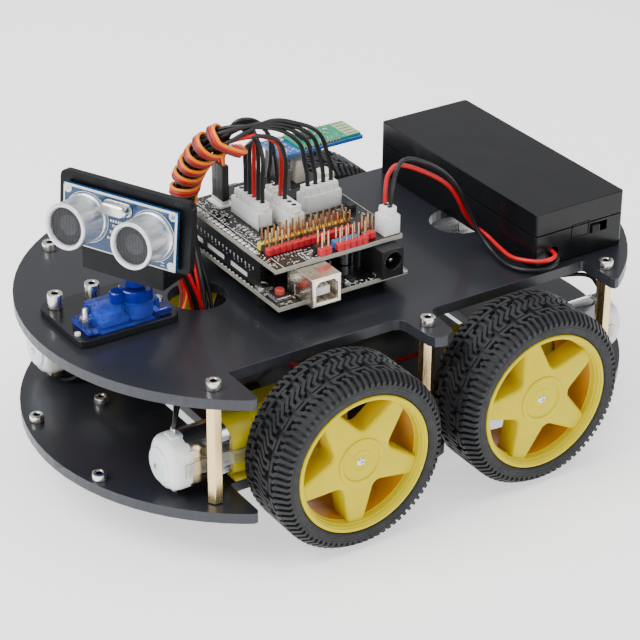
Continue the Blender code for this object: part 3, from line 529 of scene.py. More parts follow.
def spline(knots, step):
    k = [Vector(q) for q in knots]
    k = [k[0] * 2 - k[1]] + k + [k[-1] * 2 - k[-2]]
    dense = []
    for i in range(1, len(k) - 2):
        p0, p1, p2, p3 = k[i - 1], k[i], k[i + 1], k[i + 2]
        for j in range(24):
            t = j / 24.0
            dense.append(0.5 * ((2 * p1) + (p2 - p0) * t + (2 * p0 - 5 * p1 + 4 * p2 - p3) * t * t +
                                (3 * p1 - p0 - 3 * p2 + p3) * t ** 3))
    dense.append(k[-2])
    total = sum((b - a).length for a, b in zip(dense, dense[1:]))
    n = max(2, round(total / step))
    out, want, run = [dense[0]], total / n, 0.0
    for a, b in zip(dense, dense[1:]):
        d = (b - a).length
        while run + d >= want - 1e-9 and len(out) < n:
            out.append(a.lerp(b, (want - run) / d))
            want += total / n
        run += d
    out.append(dense[-1])
    return out


# ================================================================ sizes
DECK_T, LOW_TOP, UP_BOTTOM, UP_TOP = 4.0, 21.2, 61.2, 65.2
NOSE_R, NOSE_CY, WAIST_X = 84.1, 31.7, 52.3
CUT_FRONT_Y, CUT_REAR_Y, TAB_Y0, TAB_X = -72.4, 76.8, -2.8, 70.8
STANDOFFS = {"fl": (58.6, -81.6), "fr": (-58.6, -81.6), "ml": (60.6, 2.2), "mr": (-60.6, 2.2), "rl": (60.2, 80.6),
             "rr": (-60.2, 80.6)}
WHEEL_R, WHEEL_W, WHEEL_X, AXLE_Z = 33.5, 26.2, 69.9, 33.5
AXLE_Y = {-1: 37.7, 1: 38.5}
STAR_ANGLE = {-1: 50.0, 1: 31.4}
CORNERS = {"fl": (1, -1), "fr": (-1, -1), "rl": (1, 1), "rr": (-1, 1)}
UNO_X1, UNO_Y0, UNO_TOP, SHIELD_TOP = 34.3, -41.4, 71.7, 84.3
PAN_X, PAN_Y = 5.6, -80.9
TURN = Matrix.Translation((PAN_X, PAN_Y, 0)) @ Matrix.Rotation(math.radians(26.0), 4, "Z")
LEAN = TURN @ Matrix.Translation((0, -8.4, 104.8)) @ Matrix.Rotation(-math.radians(6.4), 4, "X")


# ================================================================ decks
for n in ("upper_deck", "lower_deck"):
    dress(n, "acrylic", 0.25, 2)


# ================================================================ screws
def socket_screw(p, x, y, z, r=2.75, h=3.0, hexr=1.2, m=None, slot=False):
    """Cap head screw standing on z: rounded top edge and a recess."""
    p.mat("nickel")
    p.lathe([(z, 0.0), (z, r - 0.15), (z + 0.15, r), (z + h - 0.5, r), (z + h - 0.15, r - 0.14), (z + h, r - 0.5),
             (z + h, hexr + 0.25), (z + h - 0.2, hexr + 0.02), (z + h - 0.25, hexr)], 32, centre=(x, y, 0), m=m, ring=False)
    # the hex recess is coloured near-black as painted shade
    p.mat("recess")
    p.lathe([(z + h - 0.25, hexr), (z + h - 1.3, hexr), (z + h - 1.5, 0.0)], 6, centre=(x, y, 0), m=m, ring=False)


p = P()
for k, (x, y) in STANDOFFS.items():
    socket_screw(p, x, y, UP_TOP + 0.02)
for x, y in ((-19.7, -108.9), (25.7, -108.0), (-18.7, -83.8)):
    socket_screw(p, x, y, LOW_TOP + 0.02, 2.6, 2.6, 1.15)
p.done("deck_screws_top", "chassis", "nickel_steel", smooth=40)
p = P()
for k, (x, y) in STANDOFFS.items():
    z = LOW_TOP - DECK_T
    p.mat("nickel").lathe([(z - 0.02, 0.0), (z - 0.02, 2.75), (z - 1.2, 2.6), (z - 1.8, 1.6), (z - 1.9, 0.7), (z - 1.4, 0.0)], 28,
                          centre=(x, y, 0), ring=False)
p.done("deck_screws_bottom", "chassis", "nickel_steel", smooth=40)

for k, (sx, sy) in STANDOFFS.items():
    r = 5.0 / math.sqrt(3.0)
    z0, z1 = 21.27, 61.13
    p = P().mat("brass")
    ph = math.radians(0 if k[0] == "m" else 30)
    prof = [(z0, 1.3), (z0, r - 0.42), (z0 + 0.32, r - 0.06), (z0 + 0.42, r), (z1 - 0.42, r), (z1 - 0.32, r - 0.06), (z1, r - 0.42),
            (z1, 1.3)]
    p.lathe(prof, 6, centre=(sx, sy, 0), phase=ph)
    p.done("hex_standoff_" + k, "chassis", "brass", smooth=20, bevel=0.16, replaces=("standoff_" + k,))


# ================================================================ wheels
def crown(v):
    """Outer radius of the tyre at v millimetres from its middle plane."""
    a = abs(v)
    if a < 8.8:
        return WHEEL_R
    if a < 13.0:
        t = (a - 8.8) / 4.2
        return WHEEL_R - 2.6 * t * t
    return WHEEL_R - 2.6


def strip(p, poly, w, depth, pos, taper=0.16):
    """Raised lug along a line of (u, v) points on the tread."""
    q = []
    for a, b in zip(poly, poly[1:]):
        n = max(1, int(math.hypot(b[0] - a[0], b[1] - a[1]) / 2.2))
        for i in range(n):
            q.append((a[0] + (b[0] - a[0]) * i / n, a[1] + (b[1] - a[1]) * i / n))
    q.append(poly[-1])
    rows = []
    for i, c in enumerate(q):
        a, b = q[max(0, i - 1)], q[min(len(q) - 1, i + 1)]
        d0 = Vector((c[0] - a[0], c[1] - a[1]))
        d1 = Vector((b[0] - c[0], b[1] - c[1]))
        d0 = d0.normalized() if d0.length > 1e-9 else d1.normalized()
        d1 = d1.normalized() if d1.length > 1e-9 else d0
        n0, n1 = Vector((-d0.y, d0.x)), Vector((-d1.y, d1.x))
        k = (n0 + n1) / max(0.6, 1 + n0.dot(n1))
        row = []
        for s, h in ((-1, 1), (-1, 0), (1, 0), (1, 1)):
            ww = w / 2 + (taper if h else -0.04)
            u, v = c[0] + s * k.x * ww, c[1] + s * k.y * ww
            row.append(p.bm.verts.new(pos(u, v, crown(v) - (depth if h else 0.0))))
        rows.append(row)
    for a, b in zip(rows, rows[1:]):
        for i in range(3):
            p.face((a[i], a[i + 1], b[i + 1], b[i]))
    p.face(rows[0][::-1])
    p.face(rows[-1])


NP = 27
PU = 2 * pi * WHEEL_R / NP
MID = [[(0.6, -4.5), (0.6, -1.6), (4.0, 1.6), (4.0, 4.35), (6.6, 4.35), (6.6, 1.6), (3.2, -1.6), (3.2, -3.1)],
       [(3.9, -4.7), (5.8, -4.7), (5.8, -1.6), (9.2, 1.6), (9.2, 3.0)]]
SIDE = [[(0.7, 13.04), (0.7, 9.4), (1.9, 7.8), (1.9, 6.1), (7.1, 6.1), (7.1, 7.8), (5.9, 9.4), (5.9, 13.04)],
        [(3.3, 13.04), (3.3, 9.4), (4.5, 7.9)]]

for key, (sx, sy) in CORNERS.items():
    ay = sy * AXLE_Y[sy]
    body = "wheel_" + key

    def along(a):
        return sx * (WHEEL_X + a)

    def pos(u, v, r):
        t = u / WHEEL_R
        return Vector((along(v), ay + r * math.cos(t), AXLE_Z + r * math.sin(t)))

    p = P().mat("tyre")
    d = 1.55
    prof = [(-12.6, 26.15)]
    prof += [(-12.95, 27.6), (-13.1, 29.2), (-13.08, 30.2)]
    prof += [(-12.9, 29.6), (-12.4, 29.75), (-11.6, crown(11.6) - d + 0.1)]
    prof += [(v, crown(v) - d) for v in (-9.5, -6.0, -2.5, 2.5, 6.0, 9.5)]
    prof += [(11.6, crown(11.6) - d + 0.1), (12.4, 29.75), (12.9, 29.6)]
    # outer side wall with its moulded rings
    prof += [(13.06, 29.45), (13.1, 29.3), (13.1, 29.05), (12.98, 28.95), (12.98, 28.7), (13.08, 28.6), (13.04, 27.9), (12.94, 27.8),
             (12.94, 27.6), (13.0, 27.5), (12.92, 26.9), (12.8, 26.8), (12.78, 26.6), (12.84, 26.5), (12.6, 26.15)]
    p.lathe([(along(a), r) for a, r in prof], 108, axis="x", centre=(0, ay, AXLE_Z), ring=True)
    for i in range(NP):
        u0 = i * PU
        for poly in MID:
            strip(p, [(u0 + u, v) for u, v in poly], 1.22, d + 0.1, pos, 0.12)
        for s in (-1, 1):
            for poly in SIDE:
                strip(p, [(u0 + (u if s > 0 else PU - u + 1.3), s * v) for u, v in poly], 1.3, d + 0.1, pos, 0.12)
    p.done("treaded_tyre_" + key, body, "tyre_rubber", smooth=28, replaces=("tyre_" + key,), merge=False)

    # rim
    p = P().mat("yellow")
    prof = [(12.6, 25.75), (12.9, 25.45), (12.98, 25.0), (12.85, 24.5), (12.3, 24.25), (12.2, 23.95), (11.9, 23.8), (10.9, 23.6),
            (10.8, 23.3), (8.6, 23.15), (8.5, 22.9), (4.0, 22.8), (-12.4, 23.4), (-12.6, 24.4), (-12.6, 25.75), (-11.0, 25.8),
            (11.2, 25.8)]
    p.lathe([(along(a), r) for a, r in prof], 96, axis="x", centre=(0, ay, AXLE_Z), ring=True)
    # faces inside the barrel, behind the star, take the deeper orange as painted shade
    p.mat("yellow_in")
    for f in p.bm.faces:
        c = f.calc_center_median()
        if sx * c.x < WHEEL_X + 8.4 and math.hypot(c.y - ay, c.z - AXLE_Z) < 24.0:
            f.material_index = p.cur
    p.done("star_rim_" + key, body, "yellow_plastic", smooth=32, replaces=("wheel_rim_" + key,))
    star = []
    for i in range(5):
        t = math.radians(STAR_ANGLE[sy] + 72 * i)
        for r, dt in ((24.0, -7.6), (24.0, 7.6), (10.9, 36.0)):
            a = t + math.radians(dt)
            star.append((ay + r * math.cos(a), AXLE_Z + r * math.sin(a), 3.0 if r < 15 else 0.0))
    p = P().mat("yellow")
    out = round_outline(star, 7)
    lv = [(out, 2.0), (out, 9.5), (inset(out, 0.22), 10.0), (inset(out, 0.7), 10.3), (inset(out, 1.3), 10.4)]
    rings = []
    for q, a in lv:
        rings.append([p.bm.verts.new((along(a), y, z)) for y, z in q])
    for r0, r1 in zip(rings, rings[1:]):
        for i in range(len(out)):
            j = (i + 1) % len(out)
            p.face((r0[i], r0[j], r1[j], r1[i]))
    p.face(rings[0][::-1])
    p.face(rings[-1])
    # raised hub ring, its recess and the boss for the screw
    p.lathe([(along(a), r) for a, r in [(-12.4, 0.0), (-12.4, 5.4), (2.0, 5.9), (10.2, 8.9), (10.75, 8.8), (10.95, 8.3), (10.9, 7.5),
                                        (10.5, 7.1), (9.7, 6.9), (9.6, 4.8), (10.3, 4.5), (10.55, 4.1), (10.5, 3.3), (10.2, 3.0),
                                        (9.5, 2.9), (9.5, 0.0)]], 56, axis="x", centre=(0, ay, AXLE_Z), ring=False)
    p.done("rim_star_" + key, body, "yellow_plastic", smooth=35)
    p = P()
    m = Matrix.Translation((along(9.5), ay, AXLE_Z)) @ Matrix.Rotation(sx * pi / 2, 4, "Y")
    p.mat("nickel").lathe([(0.0, 0.0), (0.0, 1.75), (0.5, 1.8), (1.1, 1.55), (1.4, 1.0), (1.45, 0.0)], 28, m=m, ring=False)
    # dark cross on the head: painted shade standing in for the cross recess
    p.mat("dark_steel_and_slot_shade").box(-1.05, 1.05, -0.18, 0.18, 1.1, 1.5, m=m)
    p.box(-0.18, 0.18, -1.05, 1.05, 1.1, 1.5, m=m)
    p.done("hub_screw_" + key, body, "nickel_steel", smooth=40)
    dress("output_shaft_" + key, "shaft")

# ================================================================ drive units
for key, (sx, sy) in CORNERS.items():
    ay = sy * AXLE_Y[sy]
    cx = sx * 45.9

    def Y(dist):
        return ay + sy * dist

    # gearbox: two moulded halves, a seam, bosses and the collar
    p = P().mat("yellow_gear")
    for a0, a1 in ((36.55, 45.75), (46.05, 55.25)):
        lo, hi = sorted((sx * a0, sx * a1))
        pts = round_outline([(Y(-11.2), 22.35, 3.2), (Y(24.6), 22.35, 1.5), (Y(24.6), 44.65, 1.5), (Y(-11.2), 44.65, 3.2)], 6)
        p.prism(pts, lo, hi, axis="x", cham=0.35)
    lo, hi = sorted((sx * 37.0, sx * 54.8))
    p.prism(round_outline([(Y(-10.8), 22.8, 3.0), (Y(24.2), 22.8, 1.3), (Y(24.2), 44.2, 1.3), (Y(-10.8), 44.2, 3.0)], 6), lo, hi, axis="x")
    for yy, zz, r in ((-8.2, 25.4, 2.3), (-8.2, 41.6, 2.3), (20.6, 24.9, 2.4), (20.6, 42.1, 2.4)):
        for s in (36.6, 55.2):
            c = sx * s
            out = -1 if s < 45 else 1
            p.mat("yellow_gear").lathe([(c - sx * out * 0.4, 0.0), (c - sx * out * 0.4, r), (c, r - 0.1), (c, 0.0)], 24, axis="x",
                                       centre=(0, Y(yy), zz), ring=False)
    p.mat("dark_steel_and_slot_shade")
    for yy, zz in ((20.6, 24.9), (20.6, 42.1), (-8.2, 33.5)):
        p.lathe([(sx * 55.28, 0.0), (sx * 55.28, 1.1), (sx * 55.24, 1.2), (sx * 55.2, 0.0)], 18, axis="x", centre=(0, Y(yy), zz), ring=False)
    # collar
    p.mat("yellow_gear")
    v = p.lathe([(Y(20.0), 0.0), (Y(20.0), 8.0), (Y(23.5), 10.5), (Y(26.0), 11.0), (Y(33.6), 10.7), (Y(34.2), 10.4), (Y(34.35), 10.0),
                 (Y(34.35), 0.0)], 64, axis="y", centre=(cx, 0, AXLE_Z), ring=False)
    for q in v:
        q.co.x = max(cx - 8.9, min(cx + 8.9, q.co.x))
    # side rib and window on the collar
    p.box(cx - 9.15, cx + 9.15, Y(24.6), Y(34.0), AXLE_Z - 10.2, AXLE_Z - 8.6, 0.3)
    p.box(cx - 9.15, cx + 9.15, Y(24.6), Y(34.0), AXLE_Z - 0.6, AXLE_Z + 0.6, 0.3)
    p.done("geared_case_" + key, "chassis", "yellow_plastic", smooth=32, replaces=("gearbox_" + key,))

    # motor: plated can, nylon end cap with its boss and terminals, clear strap
    p = P().mat("can")

    def flat(v, lim):
        for q in v:
            q.co.x = max(cx - lim, min(cx + lim, q.co.x))
    flat(p.lathe([(Y(34.4), 0.0), (Y(34.4), 9.95), (Y(50.0), 9.95), (Y(50.5), 9.8), (Y(50.5), 0.0)], 72, axis="y", centre=(cx, 0, AXLE_Z),
                 ring=False), 7.55)
    p.mat("nylon")
    v = p.lathe([(Y(49.6), 0.0), (Y(49.6), 10.0), (Y(49.9), 10.2), (Y(53.4), 10.2), (Y(55.0), 9.95), (Y(56.2), 9.3), (Y(57.1), 8.2),
                 (Y(57.6), 6.9), (Y(57.7), 6.4), (Y(58.4), 6.2), (Y(58.75), 5.7), (Y(58.85), 5.0), (Y(58.85), 0.0)], 112, axis="y",
                centre=(cx, 0, AXLE_Z), ring=False)
    for q in v:
        # eight soft lobes round the cap, flattened at its sides
        dx, dz = q.co.x - cx, q.co.z - AXLE_Z
        r = math.hypot(dx, dz)
        if r > 6.8:
            t = math.atan2(dz, dx)
            k = 1.0 - 0.055 * (0.5 - 0.5 * math.cos(8 * t)) ** 2 * min(1.0, (r - 6.8) / 2.2)
            dx, dz = dx * k, dz * k
        g = (1.0 + abs(dx / 8.6) ** 7) ** (1 / 7.0)
        q.co.x, q.co.z = cx + dx / g, AXLE_Z + dz
    p.mat("nylon").lathe([(Y(58.7), 0.0), (Y(58.7), 5.2), (Y(58.95), 5.0), (Y(59.0), 0.0)], 40, axis="y", centre=(cx, 0, AXLE_Z), ring=False)
    p.mat("nickel").lathe([(Y(58.9), 0.0), (Y(58.9), 1.15), (Y(59.5), 1.1), (Y(59.7), 0.8), (Y(59.7), 0.0)], 24, axis="y",
                          centre=(cx, 0, AXLE_Z), ring=False)
    # brush housings and terminals on top and underneath
    for s in (1, -1):
        p.mat("nylon").box(cx - 2.6, cx + 2.6, Y(51.0), Y(54.6), AXLE_Z + s * 8.2, AXLE_Z + s * 10.55, 0.5)
        p.mat("tin").box(cx - 1.3, cx + 1.3, Y(52.2), Y(52.7), AXLE_Z + s * 10.6, AXLE_Z + s * 12.6, 0.12)
        p.mat("tin").lathe([(0, 0.0), (0.25, 0.75), (0.9, 0.9), (1.5, 0.5), (1.7, 0.0)], 14, centre=(0, 0, 0), ring=False,
                           m=Matrix.Translation((cx, Y(52.4), AXLE_Z + s * 11.2)) @ Matrix.Rotation(pi if s < 0 else 0.0, 4, "X"))
    p.done("motor_body_" + key, "chassis", "motor_metal", smooth=30, replaces=("motor_" + key,))
    p = P().mat("clear")
    path = []
    for a, b in ((23.6, 9.25), (34.0, 9.2), (36.4, 8.35), (48.8, 8.15), (50.6, 8.75), (52.8, 8.7)):
        path.append((a, b))
    for s in (1, -1):
        pts = [(cx + s * b, Y(a)) for a, b in path]
        back = [(cx + s * (b + 0.42), Y(a)) for a, b in path][::-1]
        p.prism(pts + back, AXLE_Z - 2.6, AXLE_Z + 2.6)
    p.done("motor_strap_" + key, "chassis", "white_plastic", smooth=30)

    # bracket bolts
    dress("motor_bracket_" + key, "black", 0.25)
    p = P()
    for dz in (-8.7, 8.7):
        m = Matrix.Translation((sx * 55.3, Y(20.6), AXLE_Z + dz)) @ Matrix.Rotation(sx * pi / 2, 4, "Y")
        p.mat("nickel").lathe([(0.0, 0.0), (0.0, 2.7), (0.5, 2.65), (1.3, 2.0), (1.6, 1.0), (1.6, 0.0)], 28, m=m, ring=False)
        # dark cross on the head: painted shade standing in for the cross recess
        p.mat("dark_steel_and_slot_shade").box(-1.5, 1.5, -0.25, 0.25, 1.25, 1.65, m=m)
        p.box(-0.25, 0.25, -1.5, 1.5, 1.25, 1.65, m=m)
        m2 = Matrix.Translation((sx * 33.1, Y(20.6), AXLE_Z + dz)) @ Matrix.Rotation(-sx * pi / 2, 4, "Y")
        p.mat("nickel").lathe([(0.0, 0.0), (0.0, 3.0), (2.2, 3.0), (2.3, 2.6), (2.3, 0.0)], 6, m=m2, ring=False)
        p.mat("dark_steel_and_slot_shade").lathe([(2.3, 0.0), (2.3, 1.4), (4.6, 1.4), (4.9, 1.1), (4.9, 0.0)], 16, m=m2, ring=False)
    p.done("bracket_bolts_" + key, "chassis", "nickel_steel", smooth=35)

# ================================================================ controller
def uno(x, y):
    return (UNO_X1 - x, UNO_Y0 + 53.34 - y)


dress("controller_board", "board", 0.12, 1)
dress("usb_socket", "usb", 0.45, 3)
dress("power_jack", "black", 0.35, 2)
dress("reset_button", "red_cap", 0.2, 2)
dress("digital_header", "black", 0.12, 1)
dress("power_header", "black", 0.12, 1)
dress("shield_board", "board", 0.12, 1)
RND = random.Random(7)


def ink_marks(p, z, x0, x1, y0, y1, n, avoid=(), smin=0.25, smax=1.6):
    """Plain printed dashes and bars, none of them a letter."""
    p.mat("ink")
    k = 0
    tries = 0
    while k < n and tries < n * 30:
        tries += 1
        w = RND.uniform(smin, smax)
        l = RND.uniform(0.18, 0.34)
        if RND.random() < 0.5:
            w, l = l, w
        x, y = RND.uniform(x0, x1 - w), RND.uniform(y0, y1 - l)
        if any(a - 0.2 < x + w and x < b + 0.2 and c - 0.2 < y + l and y < d + 0.2 for a, b, c, d in avoid):
            continue
        p.box(x, x + w, y, y + l, z, z + 0.035)
        k += 1


def frame_mark(p, z, x0, x1, y0, y1, w=0.22):
    p.mat("ink")
    p.box(x0, x1, y0, y0 + w, z, z + 0.035)
    p.box(x0, x1, y1 - w, y1, z, z + 0.035)
    p.box(x0, x0 + w, y0, y1, z, z + 0.035)
    p.box(x1 - w, x1, y0, y1, z, z + 0.035)


def smd(p, x, y, z, lx, ly, h=0.5, body="ceramic", ends="tin"):
    p.mat(body).box(x - lx / 2, x + lx / 2, y - ly / 2, y + ly / 2, z, z + h, 0.06, 1)
    if ends:
        p.mat(ends)
        if lx > ly:
            p.box(x - lx / 2 - 0.05, x - lx / 2 + 0.35, y - ly / 2 - 0.03, y + ly / 2 + 0.03, z, z + h + 0.03, 0.05, 1)
            p.box(x + lx / 2 - 0.35, x + lx / 2 + 0.05, y - ly / 2 - 0.03, y + ly / 2 + 0.03, z, z + h + 0.03, 0.05, 1)
        else:
            p.box(x - lx / 2 - 0.03, x + lx / 2 + 0.03, y - ly / 2 - 0.05, y - ly / 2 + 0.35, z, z + h + 0.03, 0.05, 1)
            p.box(x - lx / 2 - 0.03, x + lx / 2 + 0.03, y + ly / 2 - 0.35, y + ly / 2 + 0.05, z, z + h + 0.03, 0.05, 1)


def chip(p, x0, x1, y0, y1, z, h, leads_x=True, n=7):
    p.mat("chip").box(x0, x1, y0, y1, z + 0.1, z + h, 0.12, 1)
    p.mat("tin")
    for i in range(n):
        if leads_x:
            y = y0 + (y1 - y0) * (i + 0.5) / n
            for xa, xb in ((x0 - 0.9, x0 + 0.1), (x1 - 0.1, x1 + 0.9)):
                p.box(xa, xb, y - 0.2, y + 0.2, z, z + 0.35, 0.06, 1)
        else:
            x = x0 + (x1 - x0) * (i + 0.5) / n
            for ya, yb in ((y0 - 0.9, y0 + 0.1), (y1 - 0.1, y1 + 0.9)):
                p.box(x - 0.2, x + 0.2, ya, yb, z, z + 0.35, 0.06, 1)


# board edges show the paler core
p = P().mat("board_edge")
outline = [(0, 0), (66.04, 0), (66.04, 2.54), (68.58, 5.08), (68.58, 37.85), (66.04, 40.39), (66.04, 51.82), (64.52, 53.34), (0, 53.34)]
pts = [uno(*q) for q in outline]


def rim_band(p, pts, z0, z1, proud=0.03):
    n = len(pts)
    area = sum(pts[i][0] * pts[(i + 1) % n][1] - pts[(i + 1) % n][0] * pts[i][1] for i in range(n))
    if area < 0:
        pts = pts[::-1]
    big = inset(pts, -proud)
    small = inset(pts, 0.25)
    a = [p.bm.verts.new((x, y, z0)) for x, y in big]
    b = [p.bm.verts.new((x, y, z1)) for x, y in big]
    c = [p.bm.verts.new((x, y, z1)) for x, y in small]
    d = [p.bm.verts.new((x, y, z0)) for x, y in small]
    for i in range(n):
        j = (i + 1) % n
        for q in ((a[i], a[j], b[j], b[i]), (b[i], b[j], c[j], c[i]), (c[i], c[j], d[j], d[i]), (d[i], d[j], a[j], a[i])):
            p.face(q)


rim_band(p, pts, UNO_TOP - 1.5, UNO_TOP + 0.02)
SH = [(30.6, -40.3), (30.6, 11.9), (-31.7, 11.9), (-31.7, 9.4), (-35.2, 6.8), (-35.2, -26.0), (-32.6, -28.5), (-32.6, -40.3)]
rim_band(p, SH, SHIELD_TOP - 1.5, SHIELD_TOP + 0.02)
p.done("board_cut_edges", "chassis", "board_black", smooth=20)

# things on the lower board
p = P()
z = UNO_TOP + 0.02
p.mat("tin").box(25.0, 30.6, -39.9, -34.1, z, z + 0.5, 0.1, 1)
p.mat("nickel").box(24.9, 30.7, -39.8, -34.2, z + 0.45, z + 1.5, 0.25, 2)
p.mat("chip").box(25.1, 30.5, -39.6, -34.4, z + 1.4, z + 1.7, 0.1, 1)
p.done("reset_base", "chassis", "nickel_steel", smooth=30)
p = P()
ink_marks(p, z, 18.0, 33.6, -40.8, -34.0, 26, avoid=((24.6, 31.0, -40.0, -34.0),))
ink_marks(p, z, 31.0, 33.8, -33.6, 10.5, 30, avoid=((22, 42, -32.6, -19.8), (20, 38, -0.8, 9.4)))
for i in range(14):
    p.mat("ink").box(16.0 - i * 2.54 - 0.5, 16.0 - i * 2.54 + 0.5, -41.1, -40.7, z, z + 0.03)
p.done("controller_print", "chassis", "board_black", smooth=0)
p = P()
smd(p, 32.0, -17.0, z, 1.6, 0.8)
smd(p, 32.0, -15.2, z, 1.6, 0.8)
smd(p, 31.6, -12.2, z, 3.2, 1.6, 1.1, "ink")
smd(p, 32.2, -8.6, z, 1.6, 0.8)
smd(p, 30.6, -33.2, z, 1.6, 0.8)
smd(p, 32.6, -36.0, z, 0.8, 1.6)
smd(p, 32.6, -39.0, z, 0.8, 1.6)
smd(p, 22.6, -33.2, z, 0.8, 1.6, body="ink")
smd(p, 20.6, -36.2, z, 0.8, 1.6)
p.mat("crystal").box(16.0, 20.0, -20.6, -10.0, z, z + 3.4, 1.4, 4)
p.mat("can").lathe(cyl(z, z + 5.6, 3.2, 0.3), 28, centre=(17.2, -3.6, 0))
p.mat("chip").box(22.2, 26.2, -18.4, -15.6, z, z + 1.6, 0.15, 1)
chip(p, -28.0, 6.0, -8.0, -1.0, z, 4.2, False, 14)
chip(p, 6.0, 12.0, -30.0, -24.0, z, 1.2, True, 8)
for x, y in ((30.0, -13.5), (30.0, -9.5)):
    p.mat("chip").box(x - 2.0, x + 2.0, y - 1.4, y + 1.4, z, z + 1.3, 0.12, 1)
p.done("controller_parts", "chassis", "black_plastic", smooth=30)

# data socket: tongue, folded seams and tabs
p = P()
yc = UNO_Y0 + 15.2
p.mat("white").box(30.9, 38.6, yc - 2.85, yc + 2.85, UNO_TOP + 3.0, UNO_TOP + 6.1, 0.35, 2)
p.mat("gold")
for dy in (-1.3, 1.3):
    p.box(33.0, 38.2, yc + dy - 0.5, yc + dy + 0.5, UNO_TOP + 6.05, UNO_TOP + 6.2, 0.05, 1)
    p.box(33.0, 38.2, yc + dy - 0.5, yc + dy + 0.5, UNO_TOP + 2.9, UNO_TOP + 3.05, 0.05, 1)
p.mat("white").box(30.9, 31.3, yc - 4.1, yc + 4.1, UNO_TOP + 1.7, UNO_TOP + 9.0)
p.mat("usb")
for s in (-1, 1):
    p.box(28.6, 30.2, yc + s * 6.0 - 0.35, yc + s * 6.0 + 0.35, UNO_TOP + 0.2, UNO_TOP + 4.6, 0.15, 1)
p.mat("dark_steel_and_slot_shade").box(27.0, 40.8, yc - 0.05, yc + 0.05, UNO_TOP + 10.88, UNO_TOP + 10.94)
for dx, dy in ((33.6, -2.6), (33.6, 2.6)):
    p.mat("dark_steel_and_slot_shade").box(dx - 1.6, dx + 1.6, yc + dy - 0.06, yc + dy + 0.06, UNO_TOP + 10.88, UNO_TOP + 10.94)
    p.box(dx + 1.5, dx + 1.6, yc + dy - 0.6, yc + dy + 0.6, UNO_TOP + 10.88, UNO_TOP + 10.94)
p.mat("dark_steel_and_slot_shade").box(40.2, 40.9, yc - 6.06, yc - 5.98, UNO_TOP + 3.0, UNO_TOP + 8.0)
p.done("data_socket_tongue", "chassis", "nickel_steel", smooth=30)

# power jack: raised collar and centre pin
p = P()
yj = UNO_Y0 + 53.34 - 7.7
zj = UNO_TOP + 6.4
p.mat("black").lathe([(36.0, 4.1), (36.5, 4.05), (36.55, 3.9), (36.55, 3.5), (36.2, 3.28), (36.0, 3.28)], 40, axis="x",
                     centre=(0, yj, zj), ring=True)
p.mat("nickel").lathe([(26.5, 0.0), (26.5, 1.0), (34.2, 1.0), (35.0, 0.6), (35.1, 0.0)], 24, axis="x", centre=(0, yj, zj), ring=False)
p.mat("nickel").box(28.0, 35.0, yj - 2.6, yj - 2.2, zj - 1.0, zj + 1.0, 0.1, 1)
p.mat("tin").box(31.0, 33.0, yj - 5.2, yj - 4.5, UNO_TOP, UNO_TOP + 1.2, 0.2, 1)
p.mat("tin").box(33.4, 36.4, yj + 4.6, yj + 6.2, UNO_TOP, UNO_TOP + 0.9, 0.2, 1)
p.done("power_jack_pin", "chassis", "nickel_steel", smooth=35)

# digital strip: printed panels and tick marks on its outer face, seams between the strips
p = P()
y = UNO_Y0 + 2.54 - 1.25
p.mat("ink")
for xa, xb in ((-15.6, -4.2), (-29.0, -19.0), (0.5, 11.5)):
    p.box(xa, xb, y - 0.06, y, UNO_TOP + 1.6, UNO_TOP + 3.3)
for i in range(18):
    x = 15.4 - i * 2.54
    h = 0.7 + 0.5 * RND.random()
    p.box(x - 0.42, x + 0.42, y - 0.05, y, UNO_TOP + 6.9, UNO_TOP + 7.2)
    p.box(x - 0.16, x + 0.16, y - 0.05, y, UNO_TOP + 6.9 - h, UNO_TOP + 7.1)
    if i % 3:
        p.box(x + 0.1, x + 0.5, y - 0.05, y, UNO_TOP + 5.0, UNO_TOP + 5.25)
p.mat("chip")
for x in (-8.0, 16.9):
    p.box(x - 0.12, x + 0.12, y - 0.03, y + 2.0, UNO_TOP + 0.2, UNO_TOP + 10.9)
p.mat("tin")
for i in range(19):
    x = 15.4 - i * 2.54
    p.box(x - 0.3, x + 0.3, y + 1.0, y + 1.5, UNO_TOP - 3.0, UNO_TOP - 1.6)
p.done("header_print", "chassis", "black_plastic", smooth=0)

# ================================================================ shield
z = SHIELD_TOP + 0.02
p = P()
blocks = [(-17, 3.2, -30.6, -23), (-5.0, 10.6, -22.2, -14.4), (-7.2, 1.0, -9.4, 7.2), (22.8, 30.4, 4.4, 12.2), (-28.6, -19.2, -32, -27.6),
          (12.4, 21.6, -38, -1), (28.6, 31, -21, 4), (-36, -22, -6, 12)]
ink_marks(p, z, -32.2, 30.0, -39.9, -37.6, 120, smax=1.2)
ink_marks(p, z, -32.2, 12.2, -37.2, -31.0, 130, avoid=blocks, smax=1.4)
ink_marks(p, z, -32.0, 12.0, -30.6, 11.0, 200, avoid=blocks, smax=1.8)
ink_marks(p, z, 22.0, 30.2, -36.0, 4.0, 70, avoid=blocks, smax=1.2)
frame_mark(p, z, 24.2, 30.0, -27.5, -21.4, 0.2)
ink_marks(p, z, 24.6, 29.6, -27.0, -21.9, 26, smax=1.2)
for i in range(18):
    x = 15.0 - i * 2.54
    p.mat("ink").lathe([(z, 0.55), (z + 0.035, 0.55), (z + 0.035, 0.95), (z, 0.95)], 12, centre=(x, -38.86, 0), ring=True)
p.mat("ink").box(-32.0, 12.6, -36.9, -36.7, z, z + 0.035)
p.mat("ink").box(21.8, 30.4, -36.9, -36.7, z, z + 0.035)
p.done("shield_print", "chassis", "board_black", smooth=0)
p = P()
for i in range(18):
    x = 15.0 - i * 2.54
    p.mat("tin").lathe([(z, 0.0), (z + 0.05, 0.62), (z + 0.4, 0.34), (z + 0.55, 0.0)], 12, centre=(x, -38.86, 0), ring=False)
